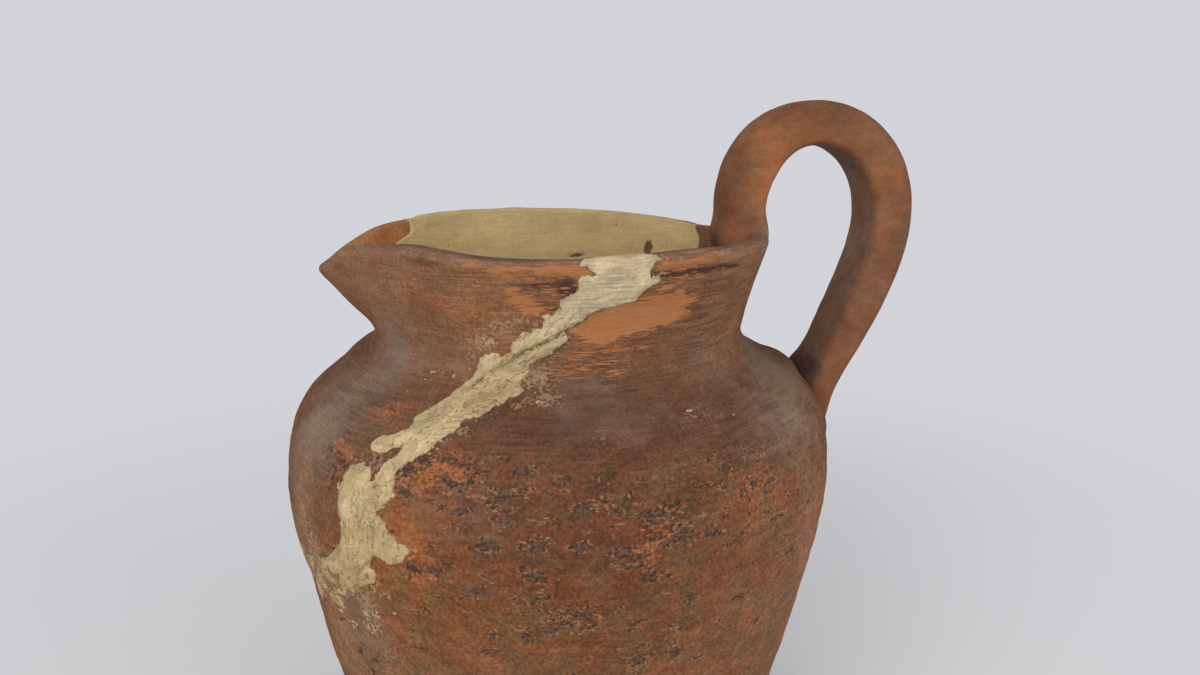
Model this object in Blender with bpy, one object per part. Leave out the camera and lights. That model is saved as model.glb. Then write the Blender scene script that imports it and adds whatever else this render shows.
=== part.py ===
"""A mended clay jug, as the separate pieces it is made of.

The thrown body, the broken-off neck sherd with the pinched spout, the pulled strap handle,
and the plaster mends: the seam run in two lengths, the rebuilt piece of rim and the skim
inside the neck. Metres, +Z up. The origin is the centre of the flat foot. The handle points
to +X and the spout to -X. A bearing is in degrees, anticlockwise from +X seen from above.
"""

import math

import bmesh
import bpy
from mathutils import Vector

MM = 0.001

# Turned vessel, outside, from the foot up. The bare numbers shape its curves.
FOOT_RADIUS = 46 * MM
FOOT_BEVEL = 1.5 * MM
BELLY_RADIUS = 75 * MM
BELLY_HEIGHT = 112 * MM
BELLY_FULLNESS = 1.5
SHOULDER_RISE = 37 * MM
SHOULDER_BULGE = 3.5
SHOULDER_HOLLOW = 2.0
WAIST_RADIUS = 50.4 * MM
NECK_RISE = 26 * MM
NECK_FLARE = 1.3
RIM_RADIUS = 58.3 * MM

# Wall
WALL = 5 * MM
FLOOR_THICKNESS = 7 * MM
FLOOR_FILLET = 6 * MM
LIP_ROUND = 1.5 * MM

# Spout, pinched out of the rim at bearing 180
SPOUT_BEARING = 180.0
SPOUT_REACH = 7.4 * MM
SPOUT_HALF_ANGLE = 10.0
SPOUT_THROAT = 2.6
SPOUT_DROOP = 8.5 * MM
SPOUT_DROOP_ANGLE = 15.0
PINCH_DEPTH = 2.5 * MM
PINCH_BEARING = 38.0
PINCH_ANGLE = 14.0

# Unevenness of the rim: bearing, width in degrees, lift, push outwards
RIM_WAVES = (
    (-130.0, 15.0, 1.7 * MM, 0.0),
    (-64.0, 14.0, 0.8 * MM, 0.0),
    (0.0, 30.0, 0.0, -1.2 * MM),
    (33.0, 24.0, -2.4 * MM, 0.0),
    (115.0, 30.0, 0.6 * MM, 0.0),
)

# Pulled strap handle
STRAP_WIDTH = 19 * MM
STRAP_THICKNESS = 12.6 * MM
STRAP_ROUNDNESS = 3.5
HANDLE_INSET = 7.4 * MM
HANDLE_SPRING = 4 * MM
ARCH_HALF_SPAN = 20.6 * MM
ARCH_RISE = 24.4 * MM
UPPER_ROOT_DEPTH = 10 * MM
UPPER_ROOT_WIDTH = 24 * MM
UPPER_ROOT_TIP = 7 * MM
UPPER_ROOT_FULL_AT = 0.45
UPPER_ROOT_COVER = 1 * MM
LOWER_ROOT_DROP = 57 * MM
LOWER_ROOT_INSET = 2 * MM
LOWER_ROOT_TIP = 4 * MM
LOWER_ROOT_WEB = 3.5 * MM
LOWER_ROOT_WEB_AT = 0.82
LOWER_ROOT_WEB_LENGTH = 0.09
LIMB_THINS_FROM = 0.45
LIMB_THINS_OUTSIDE = 1.5
LIMB_THINS_INSIDE = 3
ARCH_SWELL = 1.2 * MM
ARCH_SWELL_AT = 0.25
ARCH_SWELL_LENGTH = 0.15
LIMB_FALL = Vector((0.45 * MM, 0, -18 * MM))
LIMB_LANDING = Vector((2.6 * MM, 0, 17 * MM))

# Plaster
CLEARANCE = 0.3 * MM
SEAM_EDGE_CLEARANCE = 0.45 * MM
CRACK_WIDTH = 3 * MM
SEAM_CROWN = 0.9 * MM
SEAM_CROWN_ACROSS = (0.2, 0.5, 0.8)
SEAM_RUN_GAP = 0.03
SKIM_THICKNESS = 1.2 * MM
SKIM_BEARINGS = (23.0, 151.0)
SKIM_TOP_DROP = 2.5 * MM
SKIM_BOTTOM_DROP = 27 * MM
INFILL_BEARINGS = (70.5, 145.5)
INFILL_DEPTH = 13 * MM
INFILL_END_DEPTH = 3 * MM
INFILL_STEPS = 12

# The break, from the front of the rim down to the left flank and up behind to the rim again:
# upper edge as (bearing, depth below the rim), then lower edge
BREAK_DEPTH_UNIT = 1 * MM
BREAK = (
    ((-91.0, 0.0), (-72.5, 0.0)),
    ((-91.0, 6.0), (-74.0, 5.5)),
    ((-95.0, 11.0), (-79.5, 10.5)),
    ((-100.0, 14.0), (-87.0, 13.5)),
    ((-105.5, 17.8), (-92.5, 18.5)),
    ((-110.5, 21.5), (-98.0, 23.0)),
    ((-116.0, 25.5), (-103.0, 27.5)),
    ((-120.0, 30.0), (-107.5, 32.5)),
    ((-124.5, 34.0), (-112.5, 35.5)),
    ((-129.0, 37.5), (-118.0, 41.0)),
    ((-133.3, 42.5), (-122.0, 46.0)),
    ((-135.5, 49.0), (-125.5, 51.5)),
    ((-136.8, 55.5), (-126.5, 57.0)),
    ((-137.8, 62.0), (-125.2, 63.5)),
    ((-141.5, 69.0), (-128.5, 70.5)),
    ((-148.0, 73.5), (-135.5, 77.5)),
    ((-156.5, 76.0), (-150.0, 84.0)),
    ((-168.0, 78.0), (-166.0, 85.0)),
    ((-182.0, 78.0), (-182.0, 84.5)),
    ((-196.0, 75.0), (-198.0, 81.5)),
    ((-208.0, 69.0), (-212.0, 75.0)),
    ((-218.5, 61.0), (-224.0, 66.5)),
    ((-228.0, 52.0), (-234.0, 57.0)),
    ((-236.0, 43.0), (-243.0, 47.0)),
    ((-243.0, 35.0), (-251.0, 38.0)),
    ((-249.0, 27.0), (-258.0, 29.0)),
    ((-253.0, 19.0), (-263.0, 20.0)),
    ((-256.0, 11.0), (-266.5, 11.0)),
    ((-258.0, 2.0), (-268.5, 2.0)),
)
RUNS_MEET_AT = 16
STATIONS_PER_SPAN = 2
CUT_MARGIN = 6 * MM

# Fineness of the turned surface
COARSE_STEP = 5
FINE_STEP = 2
FINE_REACH = 20
BODY_STEPS = 7
SHOULDER_STEPS = 9
NECK_STEPS = 6
ROUND_STEPS = 3
STRAP_SIDES = 16
ARCH_STEPS = 14
LIMB_STEPS = 14
SKIM_STEPS = 20
SHARP_ANGLE = math.radians(35)

WAIST_HEIGHT = BELLY_HEIGHT + SHOULDER_RISE
RIM_HEIGHT = WAIST_HEIGHT + NECK_RISE

# Colours: name, linear red, green and blue, roughness
CLAY = ("fired_clay", (0.262, 0.107, 0.054), 0.82)
SHERD_CLAY = ("sherd_clay", (0.280, 0.120, 0.062), 0.80)
STRAP_CLAY = ("handle_clay", (0.300, 0.130, 0.062), 0.72)
PLASTER = ("seam_plaster", (0.665, 0.570, 0.330), 0.90)
RIM_PLASTER = ("rim_plaster", (0.600, 0.500, 0.270), 0.88)
SKIM_PLASTER = ("skim_plaster", (0.560, 0.455, 0.225), 0.88)


def outer_radius(height):
    """Radius of the turned outside at a height, without the spout."""
    if height <= BELLY_HEIGHT:
        share = (BELLY_HEIGHT - height) / BELLY_HEIGHT
        return BELLY_RADIUS - (BELLY_RADIUS - FOOT_RADIUS) * share**BELLY_FULLNESS
    if height <= WAIST_HEIGHT:
        share = (height - BELLY_HEIGHT) / SHOULDER_RISE
        kept = (1 - share**SHOULDER_BULGE) ** SHOULDER_HOLLOW
        return WAIST_RADIUS + (BELLY_RADIUS - WAIST_RADIUS) * kept
    share = (height - WAIST_HEIGHT) / NECK_RISE
    return WAIST_RADIUS + (RIM_RADIUS - WAIST_RADIUS) * share**NECK_FLARE


def below_skin(height, depth):
    """Radius and height of the point at a depth under the outside, square to it."""
    step = 0.5 * MM
    slope = (outer_radius(height + step) - outer_radius(height - step)) / (2 * step)
    length = math.hypot(1, slope)
    return outer_radius(height) - depth / length, height + depth * slope / length


def inner_radius(height, depth):
    """Radius, at a height, of the surface at a depth under the outside."""
    low, high = height - depth, height + depth
    for _ in range(30):
        middle = (low + high) / 2
        if below_skin(middle, depth)[1] < height:
            low = middle
        else:
            high = middle
    return below_skin(middle, depth)[0]


def apart(bearing, other):
    """Degrees between two bearings, the short way round, with its sign."""
    return (bearing - other + 180) % 360 - 180


def bell(offset, width):
    return math.exp(-((offset / width) ** 2))


def bend(bearing, radius, height):
    """The turned point, pushed out at the spout and lifted or dropped with the uneven rim."""
    fade = max(0.0, (height - WAIST_HEIGHT) / NECK_RISE)
    throat = 1 - max(0.0, 1 - fade) ** SPOUT_THROAT
    offset = apart(bearing, SPOUT_BEARING)
    spout = SPOUT_REACH / (1 + (offset / SPOUT_HALF_ANGLE) ** 2) * bell(offset, 4 * SPOUT_HALF_ANGLE)
    push = -PINCH_DEPTH * bell(abs(offset) - PINCH_BEARING, PINCH_ANGLE)
    lift = -SPOUT_DROOP * bell(offset, SPOUT_DROOP_ANGLE)
    for centre, width, rise, outwards in RIM_WAVES:
        lift += rise * bell(apart(bearing, centre), width)
        push += outwards * bell(apart(bearing, centre), width)
    angle = math.radians(bearing)
    reach = radius + throat * spout + fade * push
    return Vector((reach * math.cos(angle), reach * math.sin(angle), height + fade**2 * lift))


def wall_point(bearing, height, depth):
    """The point at a depth under the outside, square to it but never above the rim."""
    over = max(0.0, below_skin(height, depth)[1] - RIM_HEIGHT)
    return bend(bearing, *below_skin(height - over, depth))


def spaced(first, last, count):
    return [first + (last - first) * i / count for i in range(count + 1)]


def smooth_through(points, at):
    """Value at a place along a list of equal tuples, on a smooth curve through them."""
    last = len(points) - 1
    index = min(int(at), last - 1)
    t = at - index
    before, start, end, after = (points[min(max(index + k, 0), last)] for k in (-1, 0, 1, 2))
    return tuple(
        0.5 * (2 * b + (c - a) * t + (2 * a - 5 * b + 4 * c - d) * t * t
               + (3 * b - a - 3 * c + d) * t**3)
        for a, b, c, d in zip(before, start, end, after)
    )


def material(look):
    name, colour, roughness = look
    made = bpy.data.materials.new(name)
    made.use_nodes = True
    shader = made.node_tree.nodes["Principled BSDF"]
    shader.inputs["Base Color"].default_value = (*colour, 1)
    shader.inputs["Roughness"].default_value = roughness
    shader.inputs["Metallic"].default_value = 0.0
    return made


def add_object(name, mesh, look=None):
    """Puts a mesh in the scene, shaded smooth with its hard edges kept."""
    made = bpy.data.objects.new(name, mesh)
    bpy.context.scene.collection.objects.link(made)
    mesh.shade_smooth()
    mesh.set_sharp_from_angle(angle=SHARP_ANGLE)
    if look:
        mesh.materials.clear()
        mesh.materials.append(material(look))
    return made


def loft(name, sections, look=None):
    """A closed solid through equal rings of points, in triangles, with its two ends filled."""
    count = len(sections[0])
    shape = bmesh.new()
    rings = [[shape.verts.new(point) for point in section] for section in sections]
    for ring, following in zip(rings, rings[1:]):
        for i in range(count):
            j = (i + 1) % count
            shape.faces.new((ring[i], ring[j], following[j]))
            shape.faces.new((ring[i], following[j], following[i]))
    shape.faces.new(rings[0])
    shape.faces.new(rings[-1])
    bmesh.ops.recalc_face_normals(shape, faces=shape.faces)
    mesh = bpy.data.meshes.new(name)
    shape.to_mesh(mesh)
    shape.free()
    return add_object(name, mesh, look)


def wall_section(grow):
    """The wall's half section as (radius, height), from the foot up, over the lip and down."""
    heights = spaced(FOOT_BEVEL, BELLY_HEIGHT, BODY_STEPS)
    heights += spaced(BELLY_HEIGHT, WAIST_HEIGHT, SHOULDER_STEPS)[1:]
    heights += spaced(WAIST_HEIGHT, RIM_HEIGHT - LIP_ROUND, NECK_STEPS)[1:]
    outside = [below_skin(height, -grow) for height in heights]
    floor = FLOOR_THICKNESS + grow
    inside = [(inner_radius(height, WALL + grow), height) for height in reversed(heights)
              if height > floor + FLOOR_FILLET]
    top = RIM_HEIGHT + grow
    turns = [math.radians(angle) for angle in spaced(0, 90, ROUND_STEPS)[1:]]
    outer_lip, inner_lip = outside[-1][0], inside[0][0]
    lip = [(outer_lip - LIP_ROUND * (1 - math.cos(t)), top - LIP_ROUND * (1 - math.sin(t)))
           for t in turns]
    lip += [(inner_lip + LIP_ROUND * (1 - math.cos(t)), top - LIP_ROUND * (1 - math.sin(t)))
            for t in reversed(turns)]
    corner = inner_radius(floor + FLOOR_FILLET, WALL + grow)
    fillet = [(corner - FLOOR_FILLET * (1 - math.cos(t)), floor + FLOOR_FILLET * (1 - math.sin(t)))
              for t in [0.0] + turns]
    foot = [(FOOT_RADIUS - FOOT_BEVEL + grow, -grow)]
    return foot + outside + lip + inside + fillet


def bearings():
    """Bearings all round, closer together at the spout."""
    coarse = list(range(int(SPOUT_BEARING) + FINE_REACH, int(SPOUT_BEARING) + 360 - FINE_REACH,
                        COARSE_STEP))
    fine = list(range(int(SPOUT_BEARING) - FINE_REACH, int(SPOUT_BEARING) + FINE_REACH, FINE_STEP))
    return fine + coarse


def vessel(name, grow=0.0):
    """The whole turned wall as one closed shell, with its flat foot and floor."""
    shape = bmesh.new()
    section = wall_section(grow)
    columns = [[shape.verts.new(bend(bearing, *point)) for point in section]
               for bearing in bearings()]
    for column, following in zip(columns, columns[1:] + columns[:1]):
        for i in range(len(section) - 1):
            shape.faces.new((column[i], following[i], following[i + 1], column[i + 1]))
    shape.faces.new([column[0] for column in columns])
    shape.faces.new([column[-1] for column in columns])
    bmesh.ops.recalc_face_normals(shape, faces=shape.faces)
    mesh = bpy.data.meshes.new(name)
    shape.to_mesh(mesh)
    shape.free()
    return add_object(name, mesh)


def subtract(target, cutter):
    cut = target.modifiers.new(cutter.name, "BOOLEAN")
    cut.operation = "DIFFERENCE"
    cut.object = cutter


def keep_inside(target, cutter):
    cut = target.modifiers.new(cutter.name, "BOOLEAN")
    cut.operation = "INTERSECT"
    cut.object = cutter


def as_cutter(made):
    made.hide_render = True
    made.display_type = "WIRE"
    return made


def break_station(at, clearance=0.0):
    """The break's edges at a place along it: outside lower and upper, inside upper and lower."""
    flat = [(*upper, *lower) for upper, lower in BREAK]
    bearing_up, depth_up, bearing_low, depth_low = smooth_through(flat, at)
    height_up = RIM_HEIGHT - depth_up * BREAK_DEPTH_UNIT
    height_low = RIM_HEIGHT - depth_low * BREAK_DEPTH_UNIT
    upper = wall_point(bearing_up, height_up, 0)
    lower = wall_point(bearing_low, height_low, 0)
    across = (upper - lower).normalized()
    middle = wall_point((bearing_up + bearing_low) / 2, (height_up + height_low) / 2, WALL)
    half_crack = across * (CRACK_WIDTH / 2 - clearance)
    return lower + across * clearance, upper - across * clearance, middle + half_crack, middle - half_crack


def stations(first, last):
    count = round((last - first) * STATIONS_PER_SPAN)
    return spaced(first, last, count)


def break_kerf(name):
    """What the break and its chipped edges took out of the wall, as a cutter."""
    sections = []
    for at in stations(0, len(BREAK) - 1):
        lower, upper, inner_upper, inner_lower = break_station(at)
        inwards = -Vector((inner_upper.x, inner_upper.y, 0)).normalized() * CUT_MARGIN
        sections.append([
            lower,
            lower + (lower - inner_lower).normalized() * CUT_MARGIN,
            upper + (upper - inner_upper).normalized() * CUT_MARGIN,
            upper,
            inner_upper,
            inner_upper + inwards,
            inner_lower + inwards,
            inner_lower,
        ])
    above = Vector((0, 0, 2 * CUT_MARGIN))
    sections.insert(0, [point + above for point in sections[0]])
    sections.append([point + above for point in sections[-1]])
    return as_cutter(loft(name, sections))


def seam_run(name, first, last):
    """A length of plaster in the break, crowned a little above the clay."""
    sections = []
    for at in stations(first, last):
        lower, upper, inner_upper, inner_lower = break_station(at, SEAM_EDGE_CLEARANCE)
        outwards = Vector(((lower + upper).x, (lower + upper).y, 0)).normalized()
        crown = [lower.lerp(upper, share) + outwards * SEAM_CROWN for share in SEAM_CROWN_ACROSS]
        sections.append([lower, *crown, upper, inner_upper, inner_lower])
    return loft(name, sections, PLASTER)


def infill_region(name, shrink):
    """The space of the lost piece of rim, past the wall on every side."""
    first, last = INFILL_BEARINGS
    inset = math.degrees(shrink / RIM_RADIUS)
    sections = []
    for share in spaced(0, 1, INFILL_STEPS):
        bearing = first + inset + (last - first - 2 * inset) * share
        depth = INFILL_END_DEPTH + (INFILL_DEPTH - INFILL_END_DEPTH) * math.sin(math.pi * share)
        base = RIM_HEIGHT - depth + shrink
        top = RIM_HEIGHT + CUT_MARGIN
        near, far = WAIST_RADIUS - WALL - CUT_MARGIN, RIM_RADIUS + CUT_MARGIN
        sections.append([bend(bearing, radius, height) for radius, height in
                         ((near, base), (far, base), (far, top), (near, top))])
    return as_cutter(loft(name, sections))


def islands(source):
    """The separate solids of an object as its modifiers leave it, lowest first."""
    graph = bpy.context.evaluated_depsgraph_get()
    whole = bmesh.new()
    whole.from_mesh(source.evaluated_get(graph).to_mesh())
    whole.verts.ensure_lookup_table()
    seen = set()
    groups = []
    for start in whole.verts:
        if start in seen:
            continue
        group = {start}
        front = [start]
        while front:
            for edge in front.pop().link_edges:
                for vert in edge.verts:
                    if vert not in group:
                        group.add(vert)
                        front.append(vert)
        seen |= group
        groups.append(group)
    groups.sort(key=lambda group: min(vert.co.z for vert in group))
    meshes = []
    for group in groups:
        part = whole.copy()
        part.verts.ensure_lookup_table()
        kept = {vert.index for vert in group}
        others = [vert for vert in part.verts if vert.index not in kept]
        bmesh.ops.delete(part, geom=others, context="VERTS")
        mesh = bpy.data.meshes.new("island")
        part.to_mesh(mesh)
        part.free()
        meshes.append(mesh)
    whole.free()
    return meshes


def make_fired_clay(kerf):
    """The body and the neck sherd, as the break and the lost rim leave them."""
    shell = vessel("shell")
    subtract(shell, kerf)
    subtract(shell, infill_region("lost_rim", 0.0))
    body_mesh, sherd_mesh = islands(shell)[:2]
    bpy.data.objects.remove(shell)
    add_object("body", body_mesh, CLAY)
    add_object("spout_sherd", sherd_mesh, SHERD_CLAY)


def make_rim_infill():
    """The rebuilt piece of rim, cast to the wall's own shape."""
    infill = vessel("rim_infill")
    infill.data.materials.append(material(RIM_PLASTER))
    keep_inside(infill, infill_region("rebuilt_rim", CLEARANCE))


def make_seam():
    """The two plaster runs, which meet on the left flank."""
    seam_run("seam_front", 0, RUNS_MEET_AT - SEAM_RUN_GAP)
    back = seam_run("seam_back", RUNS_MEET_AT + SEAM_RUN_GAP, len(BREAK) - 1)
    subtract(back, infill_region("rim_infill_room", -CLEARANCE))


def make_neck_skim():
    """The thin plaster skin brushed over the inside of the neck, at the back."""
    first, last = SKIM_BEARINGS
    outer_face, inner_face = WALL + CLEARANCE, WALL + CLEARANCE + SKIM_THICKNESS
    heights = spaced(RIM_HEIGHT - SKIM_BOTTOM_DROP, RIM_HEIGHT - SKIM_TOP_DROP, NECK_STEPS + 1)
    sections = []
    for bearing in spaced(first, last, SKIM_STEPS):
        ring = [bend(bearing, inner_radius(height, outer_face), height) for height in heights]
        ring += [bend(bearing, inner_radius(height, inner_face), height)
                 for height in reversed(heights)]
        sections.append(ring)
    loft("neck_skim", sections, SKIM_PLASTER)


def strap_section(centre, along, outer, inner, width):
    """A rounded oblong square to the strap's run, so thick outside and inside its line."""
    outwards = Vector((-along.z, 0, along.x)).normalized()
    ring = []
    for turn in spaced(0, 2 * math.pi, STRAP_SIDES)[:-1]:
        u, v = math.cos(turn), math.sin(turn)
        power = 2 / STRAP_ROUNDNESS
        across = math.copysign(abs(u) ** power, u) * (outer if u > 0 else inner)
        aside = math.copysign(abs(v) ** power, v) * width / 2
        ring.append(centre + outwards * across + Vector((0, aside, 0)))
    return ring


def bezier(points, t):
    a, b, c, d = points
    return a * (1 - t) ** 3 + b * 3 * t * (1 - t) ** 2 + c * 3 * t * t * (1 - t) + d * t**3


def handle_stops():
    """The strap's line: place, half thickness outside and inside it, and width."""
    half = STRAP_THICKNESS / 2
    near = RIM_RADIUS - HANDLE_INSET
    spring = RIM_HEIGHT + HANDLE_SPRING
    centre = near + ARCH_HALF_SPAN
    stops = []
    for share, root_half in ((1.0, UPPER_ROOT_TIP / 2), (UPPER_ROOT_FULL_AT, half)):
        height = RIM_HEIGHT - UPPER_ROOT_DEPTH * share
        place = bend(0, *below_skin(height, UPPER_ROOT_COVER + root_half))
        stops.append((place, root_half, root_half, UPPER_ROOT_WIDTH))
    for share in spaced(0, 1, ARCH_STEPS):
        turn = math.pi * (1 - share)
        place = Vector((centre + ARCH_HALF_SPAN * math.cos(turn), 0,
                        spring + ARCH_RISE * math.sin(turn)))
        swell = ARCH_SWELL * bell(share - ARCH_SWELL_AT, ARCH_SWELL_LENGTH)
        stops.append((place, half + swell, half, STRAP_WIDTH))
    shoulder = RIM_HEIGHT - LOWER_ROOT_DROP
    start = stops[-1][0]
    root = Vector((outer_radius(shoulder) - LOWER_ROOT_INSET, 0, shoulder))
    curve = (start, start + LIMB_FALL, root + LIMB_LANDING, root)
    tip = LOWER_ROOT_TIP / 2
    for share in spaced(0, 1, LIMB_STEPS)[1:]:
        thin = max(0.0, (share - LIMB_THINS_FROM) / (1 - LIMB_THINS_FROM))
        web = LOWER_ROOT_WEB * bell(share - LOWER_ROOT_WEB_AT, LOWER_ROOT_WEB_LENGTH)
        outer = half + (tip - half) * thin**LIMB_THINS_OUTSIDE
        inner = half + (tip - half) * thin**LIMB_THINS_INSIDE + web
        stops.append((bezier(curve, share), outer, inner, STRAP_WIDTH))
    return stops


def middle_of_vessel(name):
    """What the jug holds below the waist, and the inner half of its wall, as one solid."""
    heights = spaced(FLOOR_THICKNESS, BELLY_HEIGHT, BODY_STEPS)
    heights += spaced(BELLY_HEIGHT, WAIST_HEIGHT, SHOULDER_STEPS)[1:]
    return as_cutter(loft(name, [
        [bend(bearing, outer_radius(height) - WALL / 2, height) for bearing in bearings()]
        for height in heights
    ]))


def make_handle():
    """The strap: up from the rim, over an elliptical arch and down to the shoulder."""
    stops = handle_stops()
    places = [stop[0] for stop in stops]
    ahead = places[1:] + places[-1:]
    behind = places[:1] + places[:-1]
    sections = [strap_section(place, after - before, outer, inner, width)
                for (place, outer, inner, width), before, after in zip(stops, behind, ahead)]
    handle = loft("handle", sections, STRAP_CLAY)
    subtract(handle, as_cutter(vessel("wall_and_clearance", grow=CLEARANCE)))
    subtract(handle, middle_of_vessel("kept_out_of_the_jug"))


for old in list(bpy.data.objects):
    bpy.data.objects.remove(old)

break_cutter = break_kerf("break_kerf")
make_fired_clay(break_cutter)
make_seam()
make_rim_infill()
make_neck_skim()
make_handle()
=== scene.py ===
"""The mended clay jug, dressed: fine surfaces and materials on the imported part's frame.

Lengths here are in millimetres, and meshes are written in metres. A bearing is in degrees,
anticlockwise from +X seen from above, and runs from -360 to 0: the handle at 0, the front
at -90, the spout at -180. Places on the wall are (bearing, height above the foot).
"""

import itertools
import math

import bmesh
import bpy
import numpy as np
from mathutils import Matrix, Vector


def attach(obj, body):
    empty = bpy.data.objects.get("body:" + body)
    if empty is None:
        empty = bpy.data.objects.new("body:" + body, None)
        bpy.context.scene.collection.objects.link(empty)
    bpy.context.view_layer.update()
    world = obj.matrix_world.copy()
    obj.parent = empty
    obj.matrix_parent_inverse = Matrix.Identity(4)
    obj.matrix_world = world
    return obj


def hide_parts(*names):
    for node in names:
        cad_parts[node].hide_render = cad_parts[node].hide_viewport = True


MM = 0.001

# The turned vessel, as in the part
FOOT_RADIUS = 46
FOOT_BEVEL = 1.5
BELLY_RADIUS = 75
BELLY_HEIGHT = 112
BELLY_FULLNESS = 1.5
SHOULDER_RISE = 37
SHOULDER_BULGE = 3.5
SHOULDER_HOLLOW = 2.0
WAIST_RADIUS = 50.4
NECK_RISE = 26
NECK_FLARE = 1.3
RIM_RADIUS = 58.3
WALL = 5
FLOOR_THICKNESS = 7
FLOOR_FILLET = 6
LIP_ROUND = 1.5
SPOUT_BEARING = -180.0
SPOUT_REACH = 7.4
SPOUT_HALF_ANGLE = 10.0
SPOUT_THROAT = 2.6
SPOUT_DROOP = 8.5
SPOUT_DROOP_ANGLE = 15.0
PINCH_DEPTH = 2.5
PINCH_BEARING = 38.0
PINCH_ANGLE = 14.0
RIM_WAVES = (
    (-130, 15, 1.7, 0), (-64, 14, 0.8, 0), (0, 30, 0, -1.2), (33, 24, -2.4, 0), (115, 30, 0.6, 0),
)
WAIST_HEIGHT = BELLY_HEIGHT + SHOULDER_RISE
RIM_HEIGHT = WAIST_HEIGHT + NECK_RISE
WALL_TOP = RIM_HEIGHT - LIP_ROUND

# The strap handle, as in the part
STRAP_WIDTH = 19
HANDLE_INSET = 7.4
HANDLE_SPRING = 4
ARCH_HALF_SPAN = 20.6
ARCH_RISE = 24.4
UPPER_ROOT_WIDTH = 24
ROOT_DEPTH = 13
NEAR_LIMB_SHIFT = 0.4
LOWER_ROOT_DROP = 57
LOWER_ROOT_INSET = 2
# The strap's thickness outside and inside its line, by place: 0 to 1 along the arch, 1 to 2 down
# the far limb
STRAP_HALVES = (
    (0, 6.4, 5.4), (0.12, 7, 5.4), (0.2, 7.4, 5.4), (0.27, 7.1, 5.3), (0.35, 6.6, 5.3),
    (0.43, 6.1, 5.9), (0.52, 5.8, 6.3), (0.62, 5.9, 6.6), (0.74, 6.2, 6.7), (0.88, 6.6, 6.5),
    (1, 6.8, 6.1), (1.15, 6.8, 5.8), (1.28, 6.7, 6), (1.42, 6.5, 5.9), (1.54, 5.6, 6),
    (1.61, 4.8, 5.7), (1.68, 4.2, 5.9), (1.75, 3.4, 7.6), (1.79, 3.1, 9.3), (1.83, 3, 9.6),
    (1.88, 3.4, 8.3), (1.94, 3.7, 4.6), (2, 3.2, 2),
)
LIMB_FALL = np.array((0.45, 0, -18))
LIMB_LANDING = np.array((2.6, 0, 17))

# The break's middle line, (bearing, height), from the front rim round below the spout to the
# back rim, and half the width of the crack
BREAK_LINE = (
    (-81.8, 175), (-82.5, 169.2), (-87.3, 164.2), (-93.5, 161.2), (-99, 156.9), (-104.3, 152.8),
    (-109.5, 148.5), (-113.8, 143.8), (-118.5, 140.2), (-123.5, 135.8), (-127.7, 130.8),
    (-130.5, 124.8), (-131.6, 118.8), (-131.5, 112.2), (-135, 105.2), (-141.8, 99.5), (-153.2, 95),
    (-167, 93.5), (-182, 93.8), (-197, 96.8), (-210, 103), (-221.3, 111.3), (-231, 120.5),
    (-239.5, 130), (-247, 138.5), (-253.5, 147), (-258, 155.5), (-261.3, 164), (-263.3, 173),
)
HALF_CRACK = 1.5
RUNS_MEET_AT = -153.2
INFILL_BEARINGS = (-289.5, -214.5)
INFILL_DEPTH = 13
INFILL_END_DEPTH = 3

# Outline of the plaster at the front, down its upper edge and back up its lower edge
STRIP_OUTLINE = (
    (-90.3, 175), (-88.2, 173.7), (-86.5, 172.1), (-90.5, 171.3), (-90.6, 168.2), (-94.5, 165.6),
    (-94.4, 163.9), (-98.5, 162.4), (-98.2, 159.9), (-103.3, 158), (-105.8, 156.1), (-106.5, 153.6),
    (-108.6, 152.9), (-112.2, 153.3), (-115.7, 151.5), (-116, 149.2), (-118.6, 145.9), (-122.7, 142),
    (-126.4, 138.8), (-126.2, 137.1), (-132.2, 134.8), (-133, 133.2), (-130.4, 132.3),
    (-127.9, 133.4), (-124.9, 134.8), (-126, 133), (-127.8, 129.8), (-128.2, 127.9), (-129, 127.7),
    (-130, 129.4), (-132.4, 130.2), (-134.4, 129.1), (-136.4, 124.2), (-136.5, 120.3),
    (-135.6, 116.6), (-136.2, 112.7), (-137.5, 109), (-140.9, 105.1), (-146.5, 101.3),
    (-153.5, 99.5), (-156, 92.5), (-149, 91.5), (-144.3, 94.5), (-140.7, 95.4), (-136.7, 96.5),
    (-132.9, 99.4), (-131.1, 102.3), (-128.8, 103.9), (-127.5, 106.3), (-128.8, 108.5),
    (-127.5, 110.8), (-122.1, 110.9), (-119.4, 114.7), (-121.9, 115.9), (-123.9, 117.3),
    (-124.6, 119.6), (-126.8, 121.1), (-125.4, 122.9), (-123.6, 125.5), (-124, 127.2), (-125, 129.4),
    (-123.6, 131.3), (-121.2, 133), (-119.4, 134.9), (-116.5, 137.6), (-114.4, 139.8),
    (-111.7, 140.9), (-107.1, 143), (-105.1, 144.3), (-102.5, 145.1), (-103.9, 146.8),
    (-102.4, 148.6), (-101.8, 150.5), (-98.6, 152.3), (-94.8, 154.1), (-92.3, 156.5), (-92.6, 159),
    (-88.7, 160.7), (-86.8, 163.2), (-81.8, 164.3), (-76.9, 164.9), (-75.3, 167.2), (-73, 168.5),
    (-69.4, 169.7), (-73.5, 170.6), (-74.1, 172.1), (-73, 173.5), (-71.4, 175), (-71.4, 195),
    (-90.3, 195),
)
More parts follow.
